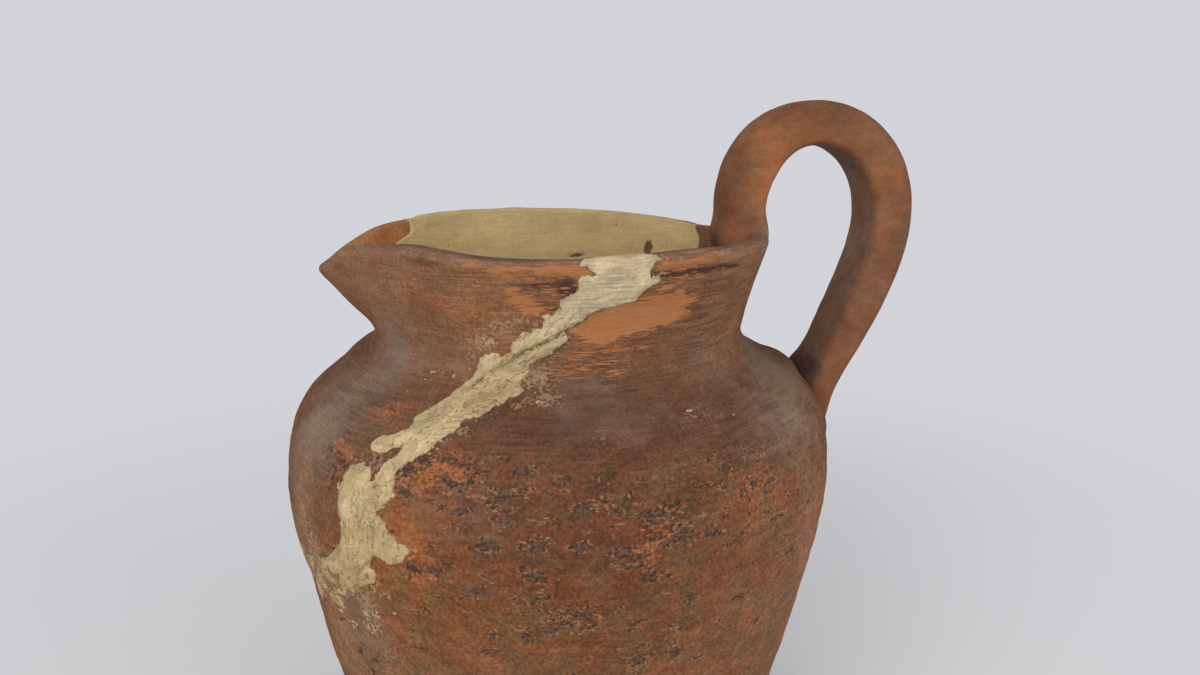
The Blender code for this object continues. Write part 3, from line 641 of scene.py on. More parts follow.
def border_walls(corners, cells, beside, opposite):
    """Faces through the thickness, round the border of the kept cells.

    beside holds the kept cells and one more on each side, which is kept where no wall is wanted.
    """
    a, b, c, d = corners
    walls = []
    for first, second, beyond in ((a, b, beside[1:-1, :-2]), (b, c, beside[2:, 1:-1]),
                                  (c, d, beside[1:-1, 2:]), (d, a, beside[:-2, 1:-1])):
        edge = cells & ~beyond
        start, end = first[edge], second[edge]
        walls.append(np.stack([end, start, opposite[start], opposite[end]], -1))
    return walls


def closed_grid(top, bottom, cells):
    """Vertices and faces of a skin: its top, its underside and a wall round each border."""
    index = np.arange(top.size // 3).reshape(top.shape[:2])
    corners = index[:-1, :-1], index[1:, :-1], index[1:, 1:], index[:-1, 1:]
    quads = np.stack(corners, -1)[cells]
    walls = border_walls(corners, cells, np.pad(cells, 1), index.ravel() + index.size)
    points = np.concatenate([top.reshape(-1, 3), bottom.reshape(-1, 3)])
    return points, np.concatenate([quads, quads[:, ::-1] + index.size, *walls])


def make_object(name, points, faces, colours, material, extra_faces=()):
    """A smooth-shaded object from points in mm, without the points that no face uses."""
    used = np.zeros(len(points), bool)
    used[faces.ravel()] = True
    for face in extra_faces:
        used[face] = True
    new_index = np.cumsum(used) - 1
    mesh = bpy.data.meshes.new(name)
    loops = [new_index[faces].ravel()] + [new_index[face] for face in extra_faces]
    sizes = [np.full(len(faces), 4)] + [np.array([len(face)]) for face in extra_faces]
    loops, sizes = np.concatenate(loops), np.concatenate(sizes)
    mesh.vertices.add(int(used.sum()))
    mesh.vertices.foreach_set("co", (points[used] * MM).astype(np.float32).ravel())
    mesh.loops.add(len(loops))
    mesh.loops.foreach_set("vertex_index", loops.astype(np.int32))
    mesh.polygons.add(len(sizes))
    starts = np.concatenate([[0], np.cumsum(sizes)[:-1]])
    mesh.polygons.foreach_set("loop_start", starts.astype(np.int32))
    mesh.update(calc_edges=True)
    mesh.validate(clean_customdata=False)
    mesh.shade_smooth()
    for key, values in colours.items():
        layer = mesh.attributes.new(key, "FLOAT_COLOR", "POINT")
        layer.data.foreach_set("color", values[used].astype(np.float32).ravel())
    mesh.materials.append(material)
    piece = bpy.data.objects.new(name, mesh)
    bpy.context.scene.collection.objects.link(piece)
    return piece


def hand_over(piece, node):
    """The piece stands for a node of the part, whose own mesh is hidden, and hangs under the root."""
    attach(piece, "root")
    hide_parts(node)


def four(*channels):
    """Up to four same-shaped arrays as one colour layer."""
    channels = list(channels) + [np.ones_like(channels[0])] * (4 - len(channels))
    return np.stack([channel.ravel() for channel in channels], -1)


def opaque(tint):
    """A colour at each place as one colour layer."""
    return four(*np.moveaxis(tint, -1, 0))


def toward(tint, colour, share):
    """The tint, mixed with a colour by a share from 0 to 1."""
    share = share[..., None]
    return tint * (1 - share) + np.array(colour) * share


class Nodes:
    """A node tree, built from small named steps."""

    def __init__(self, tree):
        self.tree = tree

    def node(self, kind, inputs, output=0, **settings):
        made = self.tree.nodes.new(kind)
        for key, value in settings.items():
            setattr(made, key, value)
        for key, value in inputs.items():
            if isinstance(value, bpy.types.NodeSocket):
                self.tree.links.new(value, made.inputs[key])
            else:
                made.inputs[key].default_value = value
        return made.outputs[output]

    def math(self, operation, first, *others):
        for other in others:
            first = self.node("ShaderNodeMath", {0: first, 1: other}, operation=operation)
        return first

    def add(self, *values):
        return self.math("ADD", *values)

    def times(self, *values):
        return self.math("MULTIPLY", *values)

    def ramp(self, value, low, high, start=0.0, end=1.0):
        return self.node("ShaderNodeMapRange", {"Value": value, "From Min": low, "From Max": high,
                                                "To Min": start, "To Max": end},
                         interpolation_type="SMOOTHSTEP")


class Paint(Nodes):
    """The node material of a matt surface."""

    def __init__(self, name, roughness, specular=0.3):
        self.material = bpy.data.materials.new(name)
        self.material.use_nodes = True
        super().__init__(self.material.node_tree)
        self.shader = self.tree.nodes["Principled BSDF"]
        self.shader.inputs["Roughness"].default_value = roughness
        self.shader.inputs["Specular IOR Level"].default_value = specular
        self.places = self.node("ShaderNodeTexCoord", {}, "Object")

    def layer(self, name):
        """The colour layer of that name, whole."""
        return self.node("ShaderNodeAttribute", {}, "Color", attribute_name=name)

    def channels(self, name):
        return self.node("ShaderNodeSeparateColor", {0: self.layer(name)}).node.outputs[:3]

    def noise(self, size, detail=2.0, stretch=(1, 1, 1), shift=0.0):
        """Noise about 0.5, with features of about a size in mm, longer along stretched axes."""
        scale = [1 / (size * MM * factor) for factor in stretch]
        moved = self.node("ShaderNodeMapping", {"Vector": self.places, "Scale": scale,
                                                "Location": (shift, shift, shift)})
        return self.node("ShaderNodeTexNoise", {"Vector": moved, "Scale": 1.0, "Detail": detail,
                                                "Roughness": 0.55}, "Fac")

    def about(self, value, factor):
        """A noise value as a number about 0, times a factor."""
        return self.times(self.add(value, -0.5), factor)

    def patchy(self, amount, unevenness, low, high):
        """Share covered by a coat of some amount, broken up by noise and absent at none."""
        return self.times(self.ramp(self.add(amount, unevenness), low, high),
                          self.ramp(amount, 0.0, 0.12))

    def mix(self, share, first, second, blend="MIX"):
        return self.node("ShaderNodeMix", {0: share, 6: first, 7: second}, 2, data_type="RGBA",
                         blend_type=blend)

    def coat(self, colour, share, red, green, blue):
        """A colour with a plain one over a share of it."""
        return self.mix(share, colour, (red, green, blue, 1.0))

    def scaled(self, colour, factor):
        return self.node("ShaderNodeVectorMath", {0: colour, "Scale": factor}, operation="SCALE")

    def tone(self, colour, value, change, middle=0.5):
        """A colour times 1 less or more a change, as a noise value rises through its middle."""
        factor = self.ramp(value, middle - 0.25, middle + 0.25, 1 - change, 1 + change)
        return self.scaled(colour, factor)

    def finish(self, colour, *bumps):
        """Set the colour and the bumps, which are (value, height in mm) pairs."""
        self.tree.links.new(colour, self.shader.inputs["Base Color"])
        inputs = {"Strength": 1.0}
        for value, height in bumps:
            inputs |= {"Height": value, "Distance": height * MM}
            inputs["Normal"] = self.node("ShaderNodeBump", inputs)
        self.tree.links.new(inputs["Normal"], self.shader.inputs["Normal"])
        return self.material


def clay_material(name, roughness, graininess=1.0):
    """Fired clay: turning lines, grain, torn pits with painted highlights on their edges, flakes,
    dust, scrapes and plaster smears, with stains and painted shade, and a painted highlight on the
    strap's luting.
    """
    paint = Paint(name, roughness, 0.04)
    pit, flake, dust_and_highlight = paint.channels("marks")
    scrape, smear, stain_and_shade = paint.channels("wear_and_shade")
    pitted, turned, spatter = paint.channels("zones")
    cloud = paint.noise(9, 4, shift=3)
    hue = paint.noise(6.5, 4, shift=23)
    blotch = paint.noise(2.8, 4, stretch=(1.5, 1.5, 0.85), shift=5)
    grain = paint.noise(0.8, 4, shift=1)
    streak = paint.noise(0.45, 4, stretch=(22, 22, 1), shift=7)
    scratch = paint.noise(0.36, 3, stretch=(10, 10, 1), shift=11)
    torn = paint.noise(1.9, 4, stretch=(1.9, 1.9, 0.75), shift=13)
    chip = paint.noise(1.5, 4, stretch=(2, 2, 0.75), shift=19)

    colour = paint.tone(paint.layer("tint"), cloud, 0.16)
    redder, greener = (1.13, 0.93, 0.84, 1.0), (0.88, 1.05, 1.09, 1.0)
    reds = paint.mix(paint.ramp(hue, 0.36, 0.64), redder, greener)
    colour = paint.mix(paint.add(paint.times(pitted, 0.65), 0.35), colour,
                       paint.mix(1.0, colour, reds, "MULTIPLY"))
    mottled = paint.times(paint.ramp(blotch, 0.25, 0.75, -0.1, 0.1), paint.add(pitted, 1.0))
    colour = paint.scaled(colour, paint.add(mottled, 1.0))
    lined = paint.about(streak, turned)
    colour = paint.tone(colour, lined, 0.45, 0.0)

    sparse = paint.times(paint.add(pitted, -1.0), 0.25)
    hole = paint.add(torn, sparse, paint.times(pit, 0.30))
    # rim is a painted highlight: a light band round the edges of the pits
    rim = paint.times(paint.ramp(hole, 0.545, 0.575), paint.ramp(grain, 0.42, 0.54), 0.62)
    colour = paint.coat(colour, rim, 0.345, 0.185, 0.100)
    sunk = paint.ramp(hole, 0.585, 0.625)
    colour = paint.coat(colour, paint.times(sunk, 0.82), 0.064, 0.039, 0.031)
    chipped = paint.add(chip, paint.times(sparse, 1.4), paint.times(flake, 0.32))
    chipped = paint.times(paint.ramp(chipped, 0.60, 0.635), 0.75)
    colour = paint.coat(colour, chipped, 0.310, 0.115, 0.046)
    rough = paint.times(paint.ramp(grain, 0.34, 0.66, -graininess, graininess),
                        paint.add(paint.times(pitted, 0.12), 0.18))
    colour = paint.scaled(colour, paint.add(rough, 1.0))

    # Grey dust, which on the strap's luting is partly a painted highlight
    powder_and_highlight = paint.ramp(paint.add(dust_and_highlight, paint.about(blotch, 0.7)), 0.05, 1.25)
    colour = paint.coat(colour, powder_and_highlight, 0.200, 0.148, 0.108)
    # shade darkens the stains, and paints shade at the strap's lower root, on its root inside the
    # neck and under the ledge below the front rim
    shade = paint.patchy(stain_and_shade, paint.about(blotch, 1.4), 0.3, 1.0)
    colour = paint.coat(colour, shade, 0.062, 0.032, 0.025)
    bared = paint.patchy(scrape, paint.about(scratch, 3.2), 0.50, 0.58)
    colour = paint.coat(colour, bared, 0.350, 0.143, 0.056)
    speckled = paint.patchy(spatter, paint.about(grain, 2.2), 0.35, 0.80)
    colour = paint.coat(colour, paint.times(speckled, 0.7), 0.300, 0.220, 0.135)
    crumbly = paint.add(paint.about(chip, 2.0), paint.about(grain, 1.6))
    cream = paint.patchy(smear, crumbly, 0.62, 0.80)
    colour = paint.coat(colour, cream, 0.430, 0.310, 0.170)
    return paint.finish(colour, (blotch, 0.22), (lined, 0.25), (grain, 0.30 * graininess),
                        (sunk, -0.35), (bared, -0.06))


def plaster_material(name, roughness, relief=1.0, course=None):
    """Restoration plaster: brush lines, lumps, and clay and dirt through its thin places, with
    painted shade along its edges, its crevice and its creases.

    course names the layer with the place along and across the strip, which the strokes follow.
    """
    paint = Paint(name, roughness, 0.1)
    dirt_and_shade, worn, brushed = paint.channels("marks")
    grain = paint.noise(0.6, 4)
    cloud = paint.noise(6, 4, shift=5)
    lump = paint.noise(1.8, 4, shift=21)
    lined = paint.about(paint.noise(0.45, 4, stretch=(14, 14, 1), shift=9), brushed)
    colour = paint.tone(paint.layer("tint"), cloud, 0.14 * relief)
    colour = paint.tone(colour, lump, 0.12 * relief)
    lumped = paint.times(lump, paint.add(paint.times(brushed, -0.8), 1.0))
    bumps = [(lumped, 0.28 * relief), (lined, 0.30 * relief), (grain, 0.12 * relief)]
    if course:
        paint.places = paint.layer(course)
        along = paint.add(paint.times(brushed, -1.0), 1.0)
        stroked = paint.about(paint.noise(0.55, 3, stretch=(12, 1, 1), shift=2), along)
        fold = paint.about(paint.noise(3, 5, stretch=(2.4, 1, 1), shift=8), 1.0)
        folded = paint.times(fold, along)
        crease = paint.ramp(paint.math("ABSOLUTE", fold, 0.0), 0.0, 0.009, 1.0, 0.0)
        creased = paint.times(crease, along)
        colour = paint.tone(colour, stroked, 0.08, 0.0)
        colour = paint.tone(colour, folded, 0.14, 0.0)
        # creased paints shade as dark lines along the creases of the folds
        colour = paint.coat(colour, paint.times(creased, 0.70), 0.180, 0.115, 0.050)
        bumps += [(stroked, 0.15), (folded, 1.3), (creased, -0.25)]
    colour = paint.tone(colour, lined, 0.20, 0.0)
    colour = paint.tone(colour, grain, 0.10)
    thin = paint.ramp(paint.add(worn, paint.about(lump, 2.6)), 0.40, 0.62)
    colour = paint.coat(colour, thin, 0.230, 0.125, 0.065)
    # Dirt, and painted shade along the plaster's edges and in its crevice
    soiled_and_shaded = paint.ramp(paint.add(dirt_and_shade, paint.about(grain, 1.8)), 0.5, 0.9)
    colour = paint.coat(colour, soiled_and_shaded, 0.110, 0.064, 0.030)
    return paint.finish(colour, *bumps)


def evenly(low, high, step):
    """Heights from low to high, evenly spaced along the skin."""
    far, near = float(arc(low)), float(arc(high))
    down = np.linspace(far, near, max(2, round((far - near) / step)) + 1)
    return np.interp(-down, -arc(ARC_HEIGHTS), ARC_HEIGHTS)


def vessel_rows():
    """The section's rows from the foot's middle, up and over the lip, to the floor's middle.

    Rows above PAIRED_FROM_HEIGHT lie opposite each other across the wall, as far before the
    middle row, whose index is returned too, as after it.
    """
    foot_inner = FOOT_RADIUS - FOOT_BEVEL

    def flat(radii, height, face):
        radii = np.asarray(radii, float)
        full = np.ones(len(radii))
        down = full * float(arc(0))
        return np.stack([radii, full * height, 0 * full, full * face, 0 * full, down, down])

    bevel = rows_outside([0.0, 0.75, 1.5])
    bevel[0] = (foot_inner, outer_radius(0.6) - 0.35, outer_radius(1.5))
    bevel[1] = (0.0, 0.45, 1.5)
    coarse = rows_outside(evenly(1.5, FINE_FROM_HEIGHT, COARSE_STEP)[1:-1])
    fine = rows_outside(evenly(FINE_FROM_HEIGHT, PAIRED_FROM_HEIGHT, CLAY_STEP)[:-1])
    paired = evenly(PAIRED_FROM_HEIGHT, WALL_TOP, CLAY_STEP)
    lower = evenly(FLOOR_THICKNESS + FLOOR_FILLET, PAIRED_FROM_HEIGHT, COARSE_STEP)[-2::-1]
    turns = np.radians(np.linspace(0, 90, 6)[1:])
    corner = float(inner_radius(np.array(FLOOR_THICKNESS + FLOOR_FILLET), WALL)) - FLOOR_FILLET
    fillet = flat(corner + FLOOR_FILLET * np.cos(turns), 0, 1)
    fillet[1] = FLOOR_THICKNESS + FLOOR_FILLET * (1 - np.sin(turns))
    pieces = [
        flat(np.linspace(2, foot_inner, 8)[:-1], 0, -1), bevel, coarse, fine,
        rows_outside(paired), rows_lip(LIP_ROWS), rows_inside(paired[::-1]), rows_inside(lower),
        fillet, flat(np.linspace(corner, 2, 8)[1:], FLOOR_THICKNESS, 1),
    ]
    before = sum(piece.shape[1] for piece in pieces[:5])
    return np.concatenate(pieces, 1), before + LIP_ROWS // 2


def infill_depth(bearing):
    """How far the rebuilt piece of rim reaches down from the rim; negative past its ends."""
    first, last = INFILL_BEARINGS
    share = np.clip((bearing - first) / (last - first), 0, 1)
    arch = INFILL_END_DEPTH + (INFILL_DEPTH - INFILL_END_DEPTH) * np.sin(math.pi * share)
    past = round_wall(np.minimum(bearing - first, last - bearing), RIM_RADIUS)
    return np.minimum(arch, past * 2)


BREAK_DOWN = unrolled(BREAK_LINE)
SHERD_OUTLINE = BREAK_DOWN + [(-263.3, -20.0), (-81.8, -20.0)]
STRIP_DOWN = unrolled(STRIP_OUTLINE)
BACK_DOWN = unrolled(BACK_OUTLINE)


def plaster_cover(bearing, down, radius):
    """Depth in mm inside the plaster over the break, negative beside it."""
    return np.maximum(depth_inside(bearing, down, radius, STRIP_DOWN),
                      depth_inside(bearing, down, radius, BACK_DOWN))


def unevenness(sheet):
    """How far the outside swells or falls short of the turned shape, in mm."""
    rise = 0.24 * sheet.noise((34, 34, 22), 3, 2) + 0.10 * sheet.noise((9, 9, 6), 5, 2)
    for *place, swell in UNEVEN:
        rise = rise + swell * sheet.spot(*place)
    return rise * ramp(sheet.out, -LIP_LENGTH, -LIP_LENGTH * 0.5)


def worn_lip(sheet):
    """How far the lip is worn down: at the spout's nose, behind it and beside the strap."""
    worn = NOSE_WEAR * bell(apart(sheet.b, SPOUT_BEARING + 4.5), 8)
    worn = worn + 1.7 * between(sheet.b, -222, -218.5, -200, -188)
    worn = worn + 2.5 * between(sheet.b, -352, -346, -333, -321)
    worn = worn + 1.4 * bell(apart(sheet.b, -299), 11) + 0.8 * bell(apart(sheet.b, -18), 7)
    return worn * bell(sheet.out + 0.2, 2.8)


def smeared(aside, wide, along, tall):
    """Clay smoothed over the width of the strap: flat across it and rounded off along it."""
    return np.exp(-(aside / wide) ** 4 - (along / tall) ** 2)


def clay_relief(sheet, outside, cover):
    """Height of the clay over the turned wall, in mm, and its pits."""
    rng = np.random.default_rng(7)
    many = []
    for _ in range(SCATTERED_PITS):
        height, bearing = rng.uniform(20, 134), rng.uniform(-350, 10)
        size = rng.uniform(0.7, 2.2)
        many.append((bearing, height, size, size * rng.uniform(0.35, 0.6), rng.uniform(-20, 20)))
    pits = np.maximum(sheet.small_spots(PITS), 0.85 * sheet.small_spots(many)) * outside
    ridges = 0.08 * sheet.noise((60, 60, 2.3), 11, 2) * ramp(sheet.h, 70, 150)
    rough = 0.10 * sheet.noise((2.6, 2.6, 1.5), 13, 2) * ramp(-sheet.h, -137, -131)
    ledge = 0.35 * bell(sheet.out - 1.8, 1.5) - 0.45 * bell(sheet.out - 3.9, 0.7)
    ledge = ledge * between(sheet.b, -76, -70, -50, -30)
    dip = 0.35 * ramp(sheet.depth(unrolled(SCRAPED)), -0.5, 2)
    seen = 1 - ramp(cover, -1.2, 0.4)
    relief = unevenness(sheet) + (ridges + rough - 0.7 * pits + ledge - dip) * seen
    relief = relief * outside * ramp(sheet.h, 0.5, 6)
    aside = sheet.along(0)
    root = 2.4 * smeared(aside, 12.5, sheet.out - float(arc(LOWER_ROOT_HEIGHT)), 8.5)
    crotch = 1.5 * smeared(aside, 13, sheet.out - float(arc(CROTCH_HEIGHT)), 2.8)
    under_strap = 1.4 * smeared(aside, 12, 0, 1) * ramp(-sheet.out, -3.5, 0.5)
    under_strap = under_strap * ramp(-sheet.into, -3, 0)
    return relief - worn_lip(sheet) - under_strap + (root + crotch) * outside, pits


def clay_tint(sheet, outside):
    """Colour of the clay at each place, before its marks."""
    heights, colours = zip(*CLAY_BY_HEIGHT)
    tint = np.stack([np.interp(sheet.h, heights, channel) for channel in zip(*colours)], -1)
    patchy = sheet.noise((22, 22, 12), 21, 3)[..., None]
    tint = tint * (1 + 0.12 * patchy)
    for *place, strength, colour in PATCHES:
        tint = toward(tint, colour, sheet.spot(*place) * strength * outside)
    within = np.array(INNER_CLAY) * (1 + 0.15 * patchy)
    bare = between(sheet.b, -220, -216, -184, -176) * ramp(-sheet.into, -16, -9)
    within = toward(within, BARE_CLAY, bare)
    thin = 1 - 0.75 * between(sheet.b, -222, -217, -190, -182)
    lip = 0.85 * bell(sheet.out + 0.55 * LIP_LENGTH * thin, 0.45 * LIP_LENGTH * thin)
    lip = lip * (1 - 0.85 * bell(sheet.along(0), 16))
    tint = toward(tint, within, 1 - outside)
    return toward(tint, np.array(LIP_CLAY) * (1 + 0.2 * patchy), lip)


def clay_layers(sheet, outside, cover, pits):
    """The colour layers that the clay's material reads."""
    edge = sheet.h + 2.2 * sheet.noise((9, 9, 5), 31, 2)
    clusters = ramp(sheet.noise((16, 16, 9), 33, 2), -0.8, 0.9)
    pitted = ramp(-edge, -137, -131) * (0.50 + 0.35 * clusters)
    for *place, strength in TORN:
        pitted = pitted + strength * sheet.spot(*place)
    pitted = np.minimum(pitted, 1.3) * outside
    pitted *= 1 - 0.75 * sheet.spot(-120, 119, 7, 6) - 0.25 * sheet.spot(-148, 110, 12, 30)
    pitted *= 1 - 0.8 * sheet.spot(-160, 110, 16, 34)
    turned = (0.42 + 0.45 * ramp(edge, 126, 140)) * outside
    turned *= 0.55 + 0.45 * sheet.noise((26, 26, 12), 35, 2)
    turned *= 1 - 0.6 * sheet.spot(-166, 162, 22, 14)
    scrape = 2.0 * ramp(sheet.depth(unrolled(SCRAPED)), -2.6, 3.6)
    scrape = np.maximum(scrape, 0.62 * sheet.small_spots(SCRATCHES, 2.2))
    scrape = np.maximum(scrape, 0.42 * sheet.spot(-86, 152.5, 8, 4, -12))
    scrape = np.maximum(scrape, 0.36 * sheet.spot(-98, 170, 14, 6))
    scrape = np.maximum(scrape, 1.5 * sheet.small_spots(RIM_WORN, 1.1)) * (sheet.out > -1.5)
    dust_and_highlight = 0.35 * ramp(sheet.noise((30, 30, 14), 51, 2), 0.2, 0.9) * ramp(sheet.h, 100, 130)
    dust_and_highlight = np.clip(sheet.raised(dust_and_highlight, DUSTY), 0, 1)
    near = bell(cover + 0.6, 1.6)
    spatter = 0.55 * near * ramp(sheet.noise(4.5, 61, 2), -0.3, 0.7)
    spatter = sheet.raised(spatter, SPATTERED)
    smear = 0.6 * near * ramp(sheet.noise(3, 63, 2), 0.2, 0.9)
    smear = sheet.raised(np.maximum(smear, 0.75 * sheet.small_spots(SMEARS)), CREAMED)
    # Stains, with the painted shade of the table's shaded spots
    stain_and_shade = sheet.raised(0.45 * ramp(sheet.noise((26, 26, 18), 71, 3), 0.35, 1.0), STAINED_AND_SHADED)
    # Painted shadow line under the ledge below the front rim
    ledge_shadow = between(sheet.b, -78, -72, -52, -34) * bell(sheet.out - 4.4, 0.75)
    stain_and_shade = np.maximum(stain_and_shade, 1.3 * ledge_shadow)
    return {
        "tint": opaque(clay_tint(sheet, outside)),
        "marks": four(pits, sheet.small_spots(FLAKES) * outside, dust_and_highlight * outside),
        "wear_and_shade": four(scrape * outside, smear * outside, stain_and_shade * outside),
        "zones": four(pitted, turned, spatter * outside),
    }


def clay_labels(sheet, middle):
    """The piece that each cell of the clay belongs to: 0 the body, 1 the sherd, 2 neither.

    Cells past the middle row take the piece of the cell across the wall.
    """
    bearing = (sheet.b + np.concatenate([sheet.b[1:], sheet.b[-1:]]))[:, :middle] / 2
    down = (sheet.down[:, :middle] + sheet.down[:, 1:middle + 1]) / 2
    radius = sheet.radius[:, :middle]
    signed = depth_inside(bearing, down, radius, SHERD_OUTLINE)
    crack = (abs(signed) < HALF_CRACK) & (plaster_cover(bearing, down, radius) > LAP)
    lost = infill_depth(bearing) - down > LAP
    paired = sheet.h[0, :middle] >= PAIRED_FROM_HEIGHT - 0.01
    label = np.where(crack | lost, 2, np.where(signed > 0, 1, 0)) * paired
    cell = np.arange(sheet.b.shape[1] - 1)
    across = np.where(cell < middle, cell, 2 * middle - 1 - cell)
    return np.where(across >= 0, label[:, np.maximum(across, 0)], 0)


def make_clay():
    """The vessel's two pieces of clay, apart along the break and without the lost rim."""
    rows, middle = vessel_rows()
    start, end = FINE_BEARINGS
    fine = np.arange(start, end, FRONT_STEP_ANGLE)
    rest = np.linspace(end, start + 360, round((start + 360 - end) / BACK_STEP_ANGLE) + 1)[:-1]
    bearings = np.concatenate([rest - 360, fine])
    sheet = Sheet(bearings, rows)
    outside = ramp(sheet.out, -LIP_LENGTH, -LIP_LENGTH * 0.5)
    cover = plaster_cover(sheet.b, sheet.down, sheet.radius)
    lift, pits = clay_relief(sheet, outside, cover)
    colours = clay_layers(sheet, outside, cover, pits)
    points = sheet.lifted(lift).reshape(-1, 3)

    label = clay_labels(sheet, middle)
    index = np.arange(sheet.b.size).reshape(sheet.b.shape)
    beyond = np.roll(index, -1, 0)
    corners = index[:, :-1], beyond[:, :-1], beyond[:, 1:], index[:, 1:]
    quads = np.stack(corners, -1)
    twin = np.clip(2 * middle - np.arange(rows.shape[1]), 0, rows.shape[1] - 1)
    for kind, name, node, slot, roughness in (
            (0, "clay_body", "body", "fired_clay", 0.82),
            (1, "clay_sherd", "spout_sherd", "sherd_clay", 0.80)):
        cells = label == kind
        half = cells[:, :middle]
        beside = np.pad(np.pad(half, ((1, 1), (0, 0)), "wrap"), ((0, 0), (1, 1)), "edge")
        walls = border_walls([corner[:, :middle] for corner in corners], half, beside,
                             index[:, twin].ravel())
        caps = [] if kind else [index[::-1, 0], index[:, -1]]
        made = make_object(name, points, np.concatenate([quads[cells], *walls]), colours,
                           clay_material(slot + "_look", roughness), caps)
        hand_over(made, node)


def plaster_heights(from_height):
    """Close heights from one up to the lip."""
    return evenly(from_height, WALL_TOP, PLASTER_STEP)


def ribbon_depth(sheet):
    """Signed depth inside the band of plaster along the break, on the inside of the wall."""
    into = np.maximum(sheet.into, 0)
    return RIBBON_HALF_WIDTH - away_from(sheet.b, into, sheet.radius, BREAK_DOWN)


def make_skin(name, span, rows, depth, build, material, edging=1.0, course=False):
    """A piece of plaster over a stretch of wall, from one bearing to another.

    depth gives the signed distance inside the outline, build the height over the wall in mm, the
    tint and the marks, all from the sheet.
    """
    first, last = span
    count = round((last - first) / math.degrees(PLASTER_STEP / MIDDLE_RADIUS))
    sheet = Sheet(np.linspace(first, last, count + 1), rows)
    ragged = 0.45 * sheet.noise(1.7, 91, 2) + 0.35 * sheet.noise(0.8, 93) + 0.2
    inside = depth(sheet) + edging * ragged
    lift, tint, dirt_and_shade, worn, brushed = build(sheet, inside)
    rising = -EDGE_SUNK + (lift + EDGE_SUNK) * ramp(inside, -0.15, 0.55)
    kept = inside > -1.0
    cells = kept[:-1, :-1] & kept[1:, :-1] & kept[1:, 1:] & kept[:-1, 1:]
    wall = unevenness(sheet) - worn_lip(sheet)
    points, faces = closed_grid(sheet.lifted(wall + rising), sheet.lifted(wall - PLASTER_DEPTH),
                                cells)
    colours = {"tint": opaque(tint), "marks": four(dirt_and_shade, worn, brushed + 0 * dirt_and_shade)}
    if course:
        along, across = course_along(sheet.b, sheet.down, sheet.radius, BREAK_DOWN)
        colours["course"] = four(along * MM, across * MM, 0 * along)
    colours = {key: np.concatenate([value, value]) for key, value in colours.items()}
    return make_object(name, points, faces, colours, material)


def seam_rows(from_height):
    """Rows up the outside from a height, over the lip and down the inside."""
    heights = plaster_heights(from_height)
    lip = rows_lip(PLASTER_LIP_ROWS)
    return np.concatenate([rows_outside(heights), lip, rows_inside(heights[::-1])], 1)


def over_the_lip(sheet, outline):
    """Depth inside an outline outside, and inside the ribbon inside, turning over the lip."""
    share = ramp(-sheet.out, 0, LIP_LENGTH)
    return sheet.depth(outline) * (1 - share) + ribbon_depth(sheet) * share


def strip_build(sheet, inside):
    """Thickness and colour of the plaster over the break."""
    turn = math.radians(STRIP_SLOPE)
    x, y, z = np.moveaxis(sheet.base, -1, 0)
    places = np.stack([x * math.cos(turn) + z * math.sin(turn), y,
                       z * math.cos(turn) - x * math.sin(turn)], -1)
    ridged = noise(places, (9, 9, 1.5), 103, 3)
    flat_top = ramp(sheet.h, 160, 166)
    lift = 0.50 + 0.35 * ramp(inside, 0.4, 3.0) + 0.17 * sheet.noise((5, 5, 3), 101, 2)
    lift += 0.16 * ridged * (1 - 0.9 * flat_top) + 0.05 * sheet.noise((6, 6, 0.9), 105, 2)
    crevice = away_from(sheet.b, sheet.down, sheet.radius, unrolled(CREVICE))
    wobble = crevice + 0.6 * sheet.noise(2.2, 107, 2)
    outwards = sheet.out > -0.5
    groove = bell(wobble, 0.42) * outwards
    lift += (0.30 * bell(wobble - 1.7, 1.0) - 0.75 * groove) * outwards
    for *place, rise in STRIP_LUMPS:
        lift += rise * ramp(sheet.spot(*place) + 0.25 * ridged, 0.28, 0.42)
    hollow = sheet.spot(-112.5, 143.5, 6.5, 2.2, 35)
    low = ramp(-sheet.h, -107, -100)
    lift -= 0.35 * hollow + 0.15 * low
    lift = np.where(outwards, lift, 0.35 + 0.08 * sheet.noise(2.5, 111, 2))
    thin_end = ramp(-sheet.b, 143, 150)
    lift = np.clip(lift, 0.08, 1.6) * (1 - 0.7 * thin_end)
    lift += 0.6 * bell(sheet.out + 0.9, 1.1) * ramp(inside, 0.5, 3)
    tint = toward(np.array(STRIP_MIDDLE), STRIP_TOP, ramp(sheet.h, 152, 166))
    tint = toward(tint, STRIP_BOTTOM, ramp(-sheet.h, -124, -112))
    tint = tint * (1 + 0.12 * noise(places, (8, 8, 3), 113, 3) + 0.08 * ridged)[..., None]
    tint = toward(tint, STRIP_KHAKI, np.clip(0.75 * hollow + 0.35 * groove, 0, 1))
    # edge darkens the plaster's border as a painted shadow of its thickness, groove darkens the
    # crevice as painted shade, and the low places between the ridges are darker
    edge = 1 - ramp(inside, 0.15, 0.8)
    dirt_and_shade = 0.75 * groove + 0.5 * edge + 0.35 * ramp(-ridged, 0.35, 0.9) * (1 - flat_top)
    worn = low * (0.50 + 0.30 * sheet.noise((4, 4, 3), 117, 2)) + 0.12 * thin_end
    worn = np.maximum(np.maximum(worn, 0.5 * edge), 0.35 * sheet.spot(-127, 127, 2.5, 2.5))
    return lift, tint, np.clip(dirt_and_shade, 0, 1), worn, 0.4 + 0.6 * flat_top


